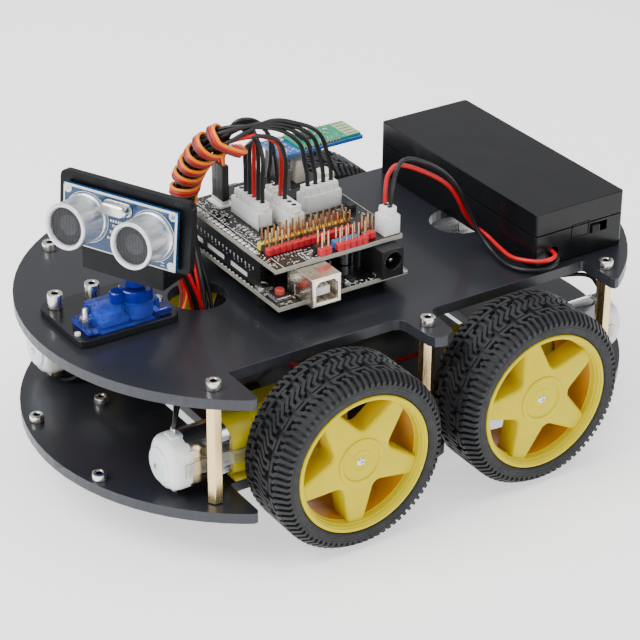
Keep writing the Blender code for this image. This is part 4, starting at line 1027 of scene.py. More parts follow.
# row of pads in front of the signal header: a pale block of surface parts
for i in range(9):
    smd(p, 22.8, -35.6 + 1.3 * i, z, 1.0, 0.5)
for i in range(8):
    smd(p, 9.8 - i * 2.1, -33.6, z, 0.8, 1.6, 0.5, "ink" if i % 2 else "ceramic")
for i in range(6):
    smd(p, 8.6, -20.0 + i * 2.6, z, 1.6, 0.8, 0.5)
for i in range(5):
    smd(p, -13.0 + i * 2.3, -12.0, z, 0.8, 1.6, 0.6)
chip(p, -17.0, -10.0, -20.5, -15.5, z, 1.4, True, 6)
chip(p, -17.5, -11.0, -8.0, 2.0, z, 1.6, True, 9)
p.mat("chip").box(3.4, 6.6, 5.4, 8.6, z, z + 2.6, 0.3, 2)
p.mat("ivory").box(-27.4, -23.2, 2.0, 6.4, z, z + 9.0, 0.4, 2)
p.mat("ivory").box(-16.0, -10.0, 4.6, 10.0, z, z + 8.4, 0.4, 2)
p.done("shield_parts", "chassis", "black_plastic", smooth=30)

# headers with coloured bases and gilt pins
def pin(p, x, y, z0, z1, w=0.32):
    p.mat("gold")
    v = p.box(x - w, x + w, y - w, y + w, z0, z1)
    for q in v:
        if q.co.z > z1 - 0.01:
            q.co.x = x + (q.co.x - x) * 0.7
            q.co.y = y + (q.co.y - y) * 0.7


def header(p, x0, y0, nx, ny, colours, z0=SHIELD_TOP + 0.05, h=2.5, top=8.6, pitch=2.54):
    for i in range(nx):
        for j in range(ny):
            x, y = x0 + pitch * i, y0 + pitch * j
            c = colours[i] if isinstance(colours, (list, tuple)) else colours
            p.mat(c)
            k = 0.42
            pts = [(x - 1.24, y - 1.24 + k), (x - 1.24 + k, y - 1.24), (x + 1.24 - k, y - 1.24), (x + 1.24, y - 1.24 + k),
                   (x + 1.24, y + 1.24 - k), (x + 1.24 - k, y + 1.24), (x - 1.24 + k, y + 1.24), (x - 1.24, y + 1.24 - k)]
            p.prism(pts, z0, z0 + h, cham=0.12)
            pin(p, x, y, z0 + h - 0.1, SHIELD_TOP + top)


p = P()
header(p, 14.47, -36.03, 3, 14, ["yellow_base", "black", "red_base"])
p.done("signal_pins", "chassis", "black_plastic", smooth=25, replaces=("signal_header",))
p = P()
header(p, 29.2, -13.4, 1, 5, "red_base")
header(p, 26.5, -13.4, 1, 4, "blue_base", top=7.6)
header(p, 29.2, -20.8, 1, 2, "red_base")
header(p, 26.5, -20.8, 1, 2, "black")
header(p, 24.6, -1.4, 2, 2, ["black", "red_base"])
p.done("small_headers", "chassis", "black_plastic", smooth=25)


def housing(p, x0, x1, y0, y1, n, along_x, z0=SHIELD_TOP + 0.05, h=6.6, plug=9.6, colour="white"):
    """Shrouded base, the plug standing in it and its wire funnels."""
    w = 0.75
    p.mat(colour)
    p.box(x0, x1, y0, y1, z0, z0 + 1.2, 0.15, 1)
    p.box(x0, x0 + w, y0, y1, z0, z0 + h, 0.18, 2)
    p.box(x1 - w, x1, y0, y1, z0, z0 + h, 0.18, 2)
    p.box(x0, x1, y0, y0 + w, z0, z0 + h, 0.18, 2)
    p.box(x0, x1, y1 - w, y1, z0, z0 + h, 0.18, 2)
    g = w + 0.18
    p.box(x0 + g, x1 - g, y0 + g, y1 - g, z0 + 1.0, z0 + plug, 0.22, 2)
    if along_x:
        for i in range(n):
            x = x0 + g + (x1 - x0 - 2 * g) * (i + 0.5) / n
            p.box(x - 0.35, x + 0.35, y0 + 0.3, y0 + g + 0.2, z0 + h - 2.0, z0 + plug - 0.6, 0.12, 1)
        p.box(x0 - 0.0, x0 + w * 0.9, (y0 + y1) / 2 - 1.2, (y0 + y1) / 2 + 1.2, z0 + h, z0 + plug - 1.4, 0.15, 1)
        p.box(x1 - w * 0.9, x1, (y0 + y1) / 2 - 1.2, (y0 + y1) / 2 + 1.2, z0 + h, z0 + plug - 1.4, 0.15, 1)
        p.mat("chip")
        for i in range(n):
            x = x0 + g + (x1 - x0 - 2 * g) * (i + 0.5) / n
            p.lathe([(z0 + plug + 0.02, 0.0), (z0 + plug + 0.02, 0.95), (z0 + plug - 0.1, 0.95), (z0 + plug - 0.1, 0.0)], 14,
                    centre=(x, (y0 + y1) / 2, 0), ring=False)
    else:
        for i in range(n):
            y = y0 + g + (y1 - y0 - 2 * g) * (i + 0.5) / n
            p.box(x1 - g - 0.2, x1 - 0.3, y - 0.35, y + 0.35, z0 + h - 2.0, z0 + plug - 0.6, 0.12, 1)
        p.box((x0 + x1) / 2 - 1.2, (x0 + x1) / 2 + 1.2, y0, y0 + w * 0.9, z0 + h, z0 + plug - 1.4, 0.15, 1)
        p.box((x0 + x1) / 2 - 1.2, (x0 + x1) / 2 + 1.2, y1 - w * 0.9, y1, z0 + h, z0 + plug - 1.4, 0.15, 1)
        p.mat("chip")
        for i in range(n):
            y = y0 + g + (y1 - y0 - 2 * g) * (i + 0.5) / n
            p.lathe([(z0 + plug + 0.02, 0.0), (z0 + plug + 0.02, 0.95), (z0 + plug - 0.1, 0.95), (z0 + plug - 0.1, 0.0)], 14,
                    centre=((x0 + x1) / 2, y, 0), ring=False)


p = P()
housing(p, -16.4, 2.4, -29.9, -23.6, 6, True)
p.done("wire_housing_a", "chassis", "white_plastic", smooth=25, replaces=("motor_connector_a",))
p = P()
housing(p, -4.0, 9.8, -21.5, -15.2, 4, True)
p.done("wire_housing_b", "chassis", "white_plastic", smooth=25)
p = P()
housing(p, -6.4, 0.2, -8.6, 6.4, 4, False)
p.done("wire_housing_c", "chassis", "white_plastic", smooth=25, replaces=("motor_connector_c",))
p = P()
housing(p, 23.4, 29.6, 5.0, 11.6, 2, True, h=7.2, plug=10.2)
p.done("battery_plug_housing", "chassis", "white_plastic", smooth=25, replaces=("battery_plug",))
p = P()
p.mat("white").box(-28.2, -19.6, -32.6, -26.8, SHIELD_TOP + 0.05, SHIELD_TOP + 1.2, 0.2, 2)
p.mat("ivory").box(-27.9, -19.9, -31.2, -28.2, SHIELD_TOP + 1.1, SHIELD_TOP + 2.6, 0.15, 1)
p.mat("black").box(-27.8, -20.0, -31.05, -28.35, SHIELD_TOP + 2.4, SHIELD_TOP + 16.3, 0.25, 2)
for i in range(3):
    x = -26.45 + 2.54 * i
    p.mat("chip").box(x - 0.8, x + 0.8, -31.1, -31.0, SHIELD_TOP + 7.0, SHIELD_TOP + 9.4)
    p.mat("chip").lathe([(SHIELD_TOP + 16.32, 0.0), (SHIELD_TOP + 16.32, 0.85), (SHIELD_TOP + 16.2, 0.85), (SHIELD_TOP + 16.2, 0.0)], 14,
                        centre=(x, -29.7, 0), ring=False)
for i in range(2):
    p.mat("chip").box(-25.2 + 2.54 * i, -25.1 + 2.54 * i, -31.12, -31.04, SHIELD_TOP + 2.6, SHIELD_TOP + 16.0)
p.done("servo_plug_housing", "chassis", "black_plastic", smooth=25, replaces=("servo_plug",))

# ================================================================ radio module
BX0, BX1, BY0, BY1 = -37.6, -22.4, -5.0, 30.7
p = P()
p.mat("blue_carrier").prism(rrect(BX0, BX1, BY0, BY1, 0.5, 3), 96.0, 97.3, cham=0.08)
p.mat("green").prism(rrect(BX0 + 1.2, BX1 - 1.2, BY0 + 9.0, BY1 - 0.3, 0.3, 3), 97.3, 98.1, cham=0.06)
p.mat("antenna").box(BX0 + 1.7, BX1 - 1.7, BY1 - 6.2, BY1 - 0.7, 98.1, 98.13)
p.mat("gold")
for i in range(13):
    y = BY0 + 10.4 + i * 1.27
    for x in (BX0 + 1.2, BX1 - 1.2):
        p.box(x - 0.45, x + 0.45, y - 0.32, y + 0.32, 97.32, 98.16, 0.08, 1)
p.mat("green")
for i in range(5):
    p.box(BX0 + 2.2 + i * 2.4, BX0 + 2.9 + i * 2.4, BY1 - 5.8, BY1 - 1.2, 98.12, 98.16)
chip(p, -34.0, -28.2, BY0 + 13.0, BY0 + 18.6, 98.1, 0.95, True, 8)
for i in range(16):
    smd(p, RND.uniform(BX0 + 3, BX1 - 3), BY0 + 20.4 + 0.6 * i * 0.9 % 6.4, 98.1, 1.0, 0.5, 0.4, RND.choice(("ceramic", "ink", "tin")))
ink_marks(p, 97.31, BX0 + 0.6, BX1 - 0.6, BY0 + 0.6, BY0 + 8.6, 34, smax=1.3)
ink_marks(p, 98.11, BX0 + 2.0, BX1 - 2.0, BY0 + 11.0, BY1 - 7.0, 18, avoid=((-35.2, -27, BY0 + 12.6, BY0 + 19),), smax=1.0)
smd(p, -26.0, BY0 + 4.5, 97.3, 1.6, 0.8)
smd(p, -30.0, BY0 + 6.4, 97.3, 1.6, 0.8)
p.mat("nickel").box(-35.6, -32.4, BY0 + 4.6, BY0 + 7.6, 97.3, 98.7, 0.2, 1)
p.mat("black").box(-35.1, -24.9, -4.2, -1.7, SHIELD_TOP + 0.1, 96.0, 0.15, 1)
for i in range(4):
    pin(p, -33.8 + i * 2.54, -2.95, 96.0, 98.6)
p.done("radio_boards", "chassis", "board_green", smooth=25, replaces=("radio_module",))

# posts that carry the controller
p = P()
for q in ((15.3, 50.7), (66.04, 35.5), (66.04, 7.6), (14.0, 2.5)):
    x, y = uno(*q)
    p.mat("black").lathe([(UP_TOP + 0.02, 1.3), (UP_TOP + 0.02, 2.3), (UNO_TOP - 1.65, 2.3), (UNO_TOP - 1.65, 1.3)], 6, centre=(x, y, 0), ring=True)
    p.mat("nickel").lathe([(UNO_TOP + 0.02, 0.0), (UNO_TOP + 0.02, 2.6), (UNO_TOP + 1.5, 2.4), (UNO_TOP + 1.9, 1.4), (UNO_TOP + 1.9, 0.0)], 24,
                          centre=(x, y, 0), ring=False)
p.done("board_posts", "chassis", "black_plastic", smooth=30)

# ================================================================ battery box
for n in ("battery_case", "battery_lid"):
    dress(n, "box", 0.6, 3, 30)
dress("battery_switch", "black", 0.15)
dress("battery_cell_a", "sleeve")
dress("battery_cell_b", "sleeve")
p = P()
for i in range(5):
    y = 82.9 + i * 0.55
    p.mat("black").box(48.0, 49.95, y - 0.12, y + 0.12, 73.9, 76.5, 0.06, 1)
p.done("switch_ribs", "power_switch", "black_plastic", smooth=30)
p = P().mat("box")
# latch window and raised surround on the end with the switch
p.box(48.68, 48.95, 73.6, 82.0, 78.45, 78.9, 0.08, 1)
p.done("latch_surround", "lid", "box_black", smooth=30)
p = P().mat("box")
for xa, xb, ya, yb, za, zb in ((48.6, 48.95, 73.4, 74.1, 73.4, 77.9), (48.6, 48.95, 81.0, 81.6, 73.4, 77.9), (48.6, 48.95, 73.4, 81.6, 73.2, 73.7)):
    p.box(xa, xb, ya, yb, za, zb, 0.08, 1)
p.lathe([(48.3, 2.35), (48.95, 2.35), (49.05, 2.5), (49.05, 2.9), (48.75, 3.05), (48.3, 3.05)], 28, axis="x", centre=(0, 65.2, 70.4), ring=True)
p.done("case_details", "chassis", "box_black", smooth=30)
p = P().mat("nickel")
for y in (67.72, 86.18):
    for x, s in ((-44.6, 1), (24.4, -1)):
        pts = []
        for i in range(60):
            a = 2 * pi * i / 12
            pts.append((x + s * i * 0.02, y + math.cos(a) * (3.8 - i * 0.04), 76.3 + math.sin(a) * (3.8 - i * 0.04)))
        p.tube(pts, 0.3, 6)
p.done("cell_springs", "chassis", "nickel_steel", smooth=40)

# ================================================================ servo
dress("servo_plate", "acrylic_gloss", 0.3, 2, 30)
p = P()
socket_screw(p, -13.3, -102.2, 67.97, 2.75, 5.6, 1.2)
socket_screw(p, -13.3, -88.0, 67.97, 2.75, 5.6, 1.2)
# small nut and screw through the servo's front tab, screw at the rear
p.mat("nickel").lathe([(70.9, 0.9), (70.9, 2.1), (72.2, 2.1), (72.35, 1.8), (72.35, 0.9)], 6, centre=(PAN_X, -100.3, 0), ring=True)
p.lathe([(68.2, 0.0), (68.2, 0.95), (75.4, 0.95), (75.7, 0.6), (75.7, 0.0)], 20, centre=(PAN_X, -100.3, 0), ring=False)
for i in range(6):
    zz = 72.6 + i * 0.45
    p.lathe([(zz, 0.9), (zz + 0.15, 1.08), (zz + 0.3, 0.9)], 20, centre=(PAN_X, -100.3, 0), ring=True)
p.lathe([(70.9, 0.0), (70.9, 1.9), (72.0, 1.8), (72.5, 1.1), (72.5, 0.0)], 24, centre=(PAN_X, -72.5, 0), ring=False)
p.mat("nylon").lathe([(68.0, 0.0), (68.0, 1.1), (68.8, 1.0), (69.0, 0.0)], 16, centre=(8.2, -104.8, 0), ring=False)
p.done("servo_fasteners", "chassis", "nickel_steel", smooth=38)

# servo: clear blue shell over its working parts
SV = 67.95 + 0.35 - 15.9
p = P().mat("servo")
hl, tl, w = 11.4, 16.1, 6.1
side = [(-86.4 - hl, SV + 0.2), (-86.4 + hl, SV + 0.2), (-86.4 + hl, SV + 15.9), (-86.4 + tl, SV + 15.9), (-86.4 + tl, SV + 18.4),
        (-86.4 + hl, SV + 18.4), (-86.4 + hl, SV + 22.7), (-86.4 - hl, SV + 22.7), (-86.4 - hl, SV + 18.4), (-86.4 - tl, SV + 18.4),
        (-86.4 - tl, SV + 15.9), (-86.4 - hl, SV + 15.9)]
p.prism(side, PAN_X - w, PAN_X + w, axis="x", cham=0.25)
p.done("servo_shell", "chassis", "servo_blue", smooth=25, replaces=("servo_case",))
p = P().mat("servo_dark")
p.lathe([(SV + 22.6, 0.0), (SV + 22.6, 5.85), (SV + 26.2, 5.85), (SV + 26.6, 5.5), (SV + 26.6, 3.4), (SV + 26.0, 3.2), (SV + 26.0, 0.0)], 48,
        centre=(PAN_X, PAN_Y, 0), ring=False)
p.lathe([(SV + 22.6, 0.0), (SV + 22.6, 2.6), (SV + 26.1, 2.6), (SV + 26.5, 2.2), (SV + 26.5, 0.0)], 32, centre=(PAN_X, PAN_Y - 7.2, 0),
        ring=False)
p.done("servo_turret", "chassis", "servo_blue", smooth=30)
p = P().mat("servo_in")
p.box(PAN_X - 5.3, PAN_X + 5.3, -97.0, -76.0, SV + 1.2, SV + 15.2, 0.8, 2)
p.lathe(cyl(SV + 16.0, SV + 21.8, 5.0, 0.5), 40, centre=(PAN_X, PAN_Y, 0))
p.lathe(cyl(SV + 16.4, SV + 21.4, 4.4, 0.5), 40, centre=(PAN_X, -91.4, 0))
p.box(PAN_X - 3.6, PAN_X + 3.8, -96.4, -86.0, SV + 16.2, SV + 18.6, 0.5, 2)
p.done("servo_works", "chassis", "servo_blue", smooth=35)
dress("servo_horn", "servo_dark", 0.2, 2, 35)
dress("sensor_bracket", "bracket", 0.45, 3, 30)

# ================================================================ sonar
dress("sonar_board", "blue_board", 0.08, 1)
p = P()
fx = -0.03


def lean_box(p, x0, x1, z0, z1, y0=-0.05, y1=0.0, r=0.0):
    p.box(x0, x1, y0, y1, z0, z1, r, 1, m=LEAN)


p.mat("ink")
X0, X1, Z0, Z1 = -22.6, 23.4, -10.5, 10.5
lean_box(p, X0 + 0.02, X1 - 0.02, Z1 - 0.85, Z1 - 0.02)
lean_box(p, X0 + 0.02, X0 + 0.5, Z0, Z1)
lean_box(p, X1 - 0.85, X1 - 0.02, Z0, Z1)
lean_box(p, X0, X1, Z0 + 0.02, Z0 + 0.4)
for a in (-1, 1):
    for b in (-1, 1):
        p.lathe([(-0.09, 0.95), (-0.12, 1.0), (-0.12, 1.5), (-0.02, 1.5), (-0.02, 0.95)], 28, axis="y",
                centre=(0.4 + a * 21.2, 0, b * 8.7), m=LEAN, ring=True)
for cx in (-12.9, 13.7):
    p.lathe([(-0.05, 8.75), (-0.05, 8.95), (0.0, 8.95), (0.0, 8.75)], 56, axis="y", centre=(cx, 0, 0.2), m=LEAN, ring=True)
# plain marks between the transducers and by the corners
for i in range(7):
    lean_box(p, -3.3 + i * 1.05, -2.7 + i * 1.05, 1.0, 1.9)
for i in range(4):
    lean_box(p, -1.8 + 1.27 * i, -1.2 + 1.27 * i, -6.4, -6.1)
    lean_box(p, -1.9 + 1.27 * i, -1.65 + 1.27 * i, -5.9, -5.0)
lean_box(p, 17.6, 18.9, -9.3, -9.0)
lean_box(p, 17.6, 18.9, -8.3, -8.0)
lean_box(p, -3.6, -1.0, -2.2, -2.0)
lean_box(p, 1.4, 3.6, -3.2, -3.0)
p.done("sensor_print", "sensor_head", "board_blue", smooth=0)
p = P()
for a in (-1, 1):
    for b in (-1, 1):
        p.mat("nickel").lathe([(-0.15, 0.0), (-0.15, 0.85), (0.3, 0.85), (0.3, 0.0)], 16, axis="y", centre=(0.4 + a * 21.2, 0, b * 8.7),
                              m=LEAN, ring=False)
        p.mat("dark_steel_and_slot_shade").lathe([(-0.17, 0.0), (-0.17, 0.45), (0.0, 0.45), (0.0, 0.0)], 8, axis="y",
                                  centre=(0.4 + a * 21.2, 0, b * 8.7), m=LEAN, ring=False)
for x, zz in ((-2.0, -2.4), (0.4, -2.6), (2.4, -0.8), (-1.2, 0.0), (3.0, -4.4), (-3.0, -4.6)):
    v = P
    p.mat("ceramic").box(x - 0.8, x + 0.8, -0.55, -0.02, zz - 0.4, zz + 0.4, 0.06, 1, m=LEAN)
    p.mat("tin").box(x - 0.85, x - 0.5, -0.58, -0.02, zz - 0.42, zz + 0.42, 0.05, 1, m=LEAN)
    p.box(x + 0.5, x + 0.85, -0.58, -0.02, zz - 0.42, zz + 0.42, 0.05, 1, m=LEAN)
p.done("sensor_small_parts", "sensor_head", "nickel_steel", smooth=30)
p = P()
# rounded metal crystal can on its base, above the gap between the transducers
p.mat("crystal")
pts = []
for k in range(11):
    t = -pi / 2 + pi * k / 10
    pts.append((3.2 + 2.0 * math.cos(t), 6.6 + 2.0 * math.sin(t)))
for k in range(11):
    t = pi / 2 + pi * k / 10
    pts.append((-3.6 + 2.0 * math.cos(t), 6.6 + 2.0 * math.sin(t)))
p.prism(pts, -4.2, -0.6, axis="y", cham=0.5, m=LEAN)
big = [(x * 1.0 + (0.45 if x > 0 else -0.45), 6.6 + (zz - 6.6) * 1.16) for x, zz in pts]
p.mat("tin").prism(big, -0.7, -0.05, axis="y", cham=0.12, m=LEAN)
p.done("crystal_can", "sensor_head", "nickel_steel", smooth=35)
MESH_R = 6.4
for name, cx in (("sonar_transmitter", -12.9), ("sonar_receiver", 13.7)):
    p = P().mat("alu")
    prof = [(-0.1, 0.0), (-0.1, 8.5), (-0.8, 8.5), (-1.15, 8.3), (-1.3, 8.02), (-11.2, 7.98), (-11.5, 8.05)]
    p.lathe(prof, 72, axis="y", centre=(cx, 0, 0.2), m=LEAN, ring=False)
    p.mat("alu_rim")
    prof = [(-11.5, 8.05), (-12.0, 8.12), (-12.4, 7.9), (-12.55, 7.45), (-12.45, 7.0), (-12.1, 6.7), (-11.2, 6.55), (-11.0, 6.5), (-11.0, 7.9)]
    p.lathe(prof, 72, axis="y", centre=(cx, 0, 0.2), m=LEAN, ring=True)
    p.mat("chip").lathe([(-9.9, 0.0), (-9.9, 6.6), (-9.6, 6.6), (-9.6, 0.0)], 48, axis="y", centre=(cx, 0, 0.2), m=LEAN, ring=False)
    p.mat("cone").lathe([(-10.6, 0.0), (-10.5, 1.4), (-10.0, 3.6), (-9.8, 3.6), (-9.8, 0.0)], 32, axis="y", centre=(cx, 0, 0.2), m=LEAN,
                        ring=False)
    # woven screen: two sets of fine wires
    p.mat("screen")
    k = -6.0
    while k <= 6.01:
        h = math.sqrt(max(0.0, MESH_R ** 2 - k * k))
        if h > 0.6:
            p.box(cx + k - 0.07, cx + k + 0.07, -11.42, -11.28, 0.2 - h, 0.2 + h, m=LEAN)
            p.box(cx - h, cx + h, -11.30, -11.16, 0.2 + k - 0.07, 0.2 + k + 0.07, m=LEAN)
        k += 0.6
    p.done(name + "_can", "sensor_head", "sensor_can", smooth=35, replaces=(name,))
# back of the sensor board: pin row and its plug
p = P()
p.mat("black").box(-3.8, 6.4, 1.62, 4.2, -10.2, -7.4, 0.15, 1, m=LEAN)
p.mat("chip").box(-6.0, -2.0, 1.62, 2.4, -3.0, 1.4, 0.1, 1, m=LEAN)
p.mat("nickel").lathe([(5.5, 0.0), (5.5, 2.7), (6.8, 2.6), (7.2, 1.6), (7.2, 0.0)], 28, axis="y", centre=(-18.0, 0, 9.0), m=LEAN, ring=False)
p.mat("nickel").lathe([(5.5, 0.0), (5.5, 2.7), (6.8, 2.6), (7.2, 1.6), (7.2, 0.0)], 28, axis="y", centre=(19.0, 0, 9.0), m=LEAN, ring=False)
p.done("sensor_back_parts", "sensor_head", "black_plastic", smooth=30)
# screw that holds the bracket's foot to the horn
p = P()
p.mat("nickel").lathe([(92.62, 0.0), (92.62, 2.4), (93.4, 2.3), (93.9, 1.2), (93.9, 0.0)], 24, m=TURN, ring=False)
p.done("foot_screw", "sensor_head", "nickel_steel", smooth=35)

# ================================================================ battery leads
LEAD_BLACK = [(27.9, 8.5, 95.4), (28.4, 8.8, 101.6), (27.9, 10.4, 107.4), (26.8, 13.6, 110.2), (25.8, 18.0, 109.7),
              (24.7, 24.5, 106.4), (23.7, 31.0, 102.1), (22.8, 37.4, 96.3), (22.4, 43.0, 88.6), (22.0, 47.8, 79.4),
              (24.2, 50.6, 71.6), (31.0, 51.4, 67.2), (41.2, 50.2, 66.5), (48.2, 52.4, 66.6), (52.0, 57.4, 66.9),
              (53.3, 61.8, 67.8), (51.9, 65.2, 69.1), (47.4, 66.2, 69.7)]
LEAD_RED = [(25.2, 8.0, 95.4), (25.1, 8.2, 101.0), (24.6, 9.4, 105.2), (23.6, 13.2, 107.5), (22.8, 18.6, 105.7),
            (22.7, 25.4, 102.0), (22.4, 32.6, 97.2), (22.0, 38.4, 92.0), (20.9, 43.2, 85.2), (19.6, 47.0, 78.8),
            (20.4, 51.2, 72.8), (25.6, 53.8, 69.8), (33.5, 53.0, 69.0), (41.8, 51.8, 69.3), (46.9, 53.3, 69.7),
            (51.6, 56.6, 70.2), (53.6, 60.0, 70.9), (52.4, 63.5, 71.3), (47.4, 64.6, 71.3)]
WIRE_D = 1.6


for nm, knots, col in (("black", LEAD_BLACK, "w_black"), ("red", LEAD_RED, "w_red")):
    q = spline(knots, 1.2)
    p = P().mat(col)
    p.tube(q, WIRE_D / 2, 12)
    ob = p.done("lead_" + nm, "chassis", "wire_" + nm, smooth=60, replaces=("battery_lead_" + nm,))

# ================================================================ motor wires
BUNDLE = [(-2.0, -50.6, 56.0), (-4.0, -50.4, 64.0), (-11.0, -49.2, 72.0), (-18.0, -47.8, 80.4), (-21.0, -46.6, 89.0),
          (-20.0, -46.0, 98.6), (-17.0, -45.4, 105.0), (-12.6, -45.0, 110.8), (-8.2, -44.0, 116.0), (-3.0, -41.0, 120.6),
          (1.6, -36.0, 123.6), (4.6, -30.0, 124.8), (5.4, -24.4, 122.8), (4.2, -19.4, 118.6), (2.0, -15.0, 113.4),
          (0.0, -11.6, 107.8), (-1.6, -8.4, 101.4), (-2.6, -5.6, 95.4)]
axis_pts = spline(BUNDLE[:11], 1.0)


def frames(pts):
    """Parallel frames along a line."""
    t0 = (pts[1] - pts[0]).normalized()
    u = t0.cross(Vector((1, 0, 0))).normalized()
    out, prev = [], t0
    for i, p in enumerate(pts):
        t = (pts[min(len(pts) - 1, i + 1)] - pts[max(0, i - 1)]).normalized()
        u = prev.rotation_difference(t) @ u
        u = (u - t * u.dot(t)).normalized()
        out.append((p, t, u, t.cross(u)))
        prev = t
    return out


FR = frames(axis_pts)
WR = 0.78
SLOTS = [(0.0, 0.0)] + [(1.75, pi / 3 * i) for i in range(6)] + [(3.2, pi / 6 + pi / 3 * i) for i in range(6)]


def in_bundle(k, i0, i1, step=5, swirl=0.006):
    r, a = SLOTS[k]
    out = []
    for i in range(i0, i1, step):
        p, t, u, w = FR[i]
        b = a + swirl * i + 0.25 * math.sin(i * 0.11 + k)
        rr = r * (1.0 + 0.06 * math.sin(i * 0.21 + 1.7 * k))
        out.append(p + u * (rr * math.cos(b)) + w * (rr * math.sin(b)))
    return out


ZP = SHIELD_TOP + 0.05 + 9.4
A_Y, C_X = -26.75, -3.1


def a_x(i):
    return -16.4 + 0.93 + (18.8 - 1.86) * (i + 0.5) / 6


def b_x(i):
    return -4.0 + 0.93 + (13.8 - 1.86) * (i + 0.5) / 4


def c_y(i):
    return -8.6 + 0.93 + (15.0 - 1.86) * (i + 0.5) / 4


def motor_end(key, s):
    sx, sy = CORNERS[key]
    ay = sy * AXLE_Y[sy]
    y = ay + sy * 52.4
    return (sx * 45.9, y, AXLE_Z + s * 12.6)


def start_route(key, s, k):
    """From a motor's terminal to the front cable hole, between the decks."""
    sx, sy = CORNERS[key]
    e = motor_end(key, s)
    o = (k % 5 - 2) * 0.9
    zt = 52.0 + (k % 4) * 1.6
    if sy < 0:
        if s > 0:
            q = [e, (e[0], e[1] + 0.8, e[2] + 2.4), (e[0] - sx * 5.0, e[1] + 4.0, zt), (sx * 27.0, -76.0 + o, zt), (sx * 12.0 + o, -64.0, 52.4)]
        else:
            q = [e, (e[0] - sx * 2.0, e[1] + 1.0, e[2] - 1.0), (e[0] - sx * 11.5, e[1] + 5.0, 24.5), (sx * 28.0, -78.0 + o, 38.0),
                 (sx * 12.0 + o, -63.0, 50.0)]
    else:
        if s > 0:
            q = [e, (e[0], e[1] - 0.8, e[2] + 2.4), (e[0] - sx * 6.0, e[1] - 6.0, zt), (sx * (25.0 + o), 50.0, zt - 2.0), (sx * (21.0 + o), 20.0, zt - 3.0),
                 (sx * (18.0 + o), -15.0, zt - 2.0), (sx * 8.0 + o, -38.0, 51.0)]
        else:
            q = [e, (e[0] - sx * 2.0, e[1] - 1.0, e[2] - 1.0), (e[0] - sx * 11.5, e[1] - 5.0, 24.5), (sx * (26.0 + o), 50.0, 30.0),
                 (sx * (22.0 + o), 20.0, 26.0), (sx * (18.0 + o), -15.0, 30.0), (sx * 8.0 + o, -38.0, 46.0)]
    return q


N = len(FR)
ENDS = []
for i in range(5):
    ENDS.append(("A", (a_x(i + 1), A_Y, ZP)))
ENDS.append(("B", (b_x(0), -18.35, ZP)))
ENDS.append(("B", (b_x(1), -18.35, ZP)))
for i in range(4):
    ENDS.append(("C", (C_X, c_y(i), ZP)))
ENDS.append(("D", (-15.0, -15.0, SHIELD_TOP + 8.0)))
ENDS.append(("D", (-12.6, -13.0, SHIELD_TOP + 8.0)))
COL = ["w_black", "w_black", "w_red", "w_black", "w_black", "w_red", "w_black", "w_black", "w_black", "w_black", "w_black", "w_black", "w_black"]
SRC = [("fl", 1), ("fl", -1), ("fr", 1), ("fr", -1), ("rl", 1), ("rl", -1), ("rr", 1), ("rr", -1)]
for k, (grp, e) in enumerate(ENDS):
    ex, ey, ez = e
    if grp == "A":
        j = k
        stop = N - 14 + j
        mid = [(-2.0 + 0.8 * j - 1.2, -36.5 + 0.5 * j, 123.8 + 0.5 * (j % 3)), (2.0 - 0.6 * j, -31.2 + 0.4 * j, 120.6 + 1.2 * (j % 2)),
               (ex + 1.6, -27.6, 111.0 + 1.5 * (j % 3)), (ex + 0.3, A_Y - 0.2, 102.0), (ex, A_Y, ez + 3.0)]
    elif grp == "B":
        j = k - 5
        stop = N - 6
        mid = [(4.4 + j, -33.0 + j, 122.6), (6.2 + 1.4 * j, -25.0, 119.0 + j), (ex + 2.4, -19.6, 110.0), (ex + 0.6, -18.4, 102.0), (ex, -18.35, ez + 3.0)]
    elif grp == "C":
        j = k - 7
        stop = N - 3
        mid = [(4.4 + 0.3 * j, -31.5 + 1.4 * j, 125.4 + 0.5 * j), (5.8 + 0.2 * j, -22.5 + 2.0 * j, 122.6 + 0.5 * j), (4.2, -14.0 + 2.6 * j, 115.0 + 0.8 * j),
               (0.8, ey - 4.0, 106.4), (-2.0, ey - 1.0, 99.4), (C_X, ey, ez + 2.2)]
    else:
        j = k - 11
        stop = N - 10
        mid = [(-1.0, -36.0, 125.6 + j), (0.4, -29.0, 124.4 + j), (-4.5, -21.0, 116.0), (-10.5, ey - 2.0, 104.0), (ex, ey, ez + 4.0)]
    if k < len(SRC):
        pre = start_route(*SRC[k], k)
    else:
        kk = k - len(SRC)
        pre = [(-14.0 + 4.0 * kk, -46.0 - 4.0 * (kk % 2), 23.2 + 1.6 * (kk % 2)), (-11.0 + 3.4 * kk, -47.5, 27.0), (-6.0 + 1.6 * kk, -48.6, 40.0)]
    core = in_bundle(k, 0, stop, 5)
    knots = [Vector(q) for q in pre] + core + [Vector(q) for q in mid] + [Vector((ex, ey, ez))]
    q = spline(knots, 1.5)
    p = P().mat(COL[k])
    p.tube(q, WR, 9)
    p.done("loom_wire_%02d" % k, "chassis", "wire_red" if COL[k] == "w_red" else "wire_black", smooth=60,
           replaces=(("wire_bundle",) if k == 0 else ()))
# block on the shield for the two loose wires at the back
p = P()
housing(p, -17.0, -10.6, -16.2, -11.8, 2, True, h=5.0, plug=8.0)
p.done("wire_housing_d", "chassis", "white_plastic", smooth=25)

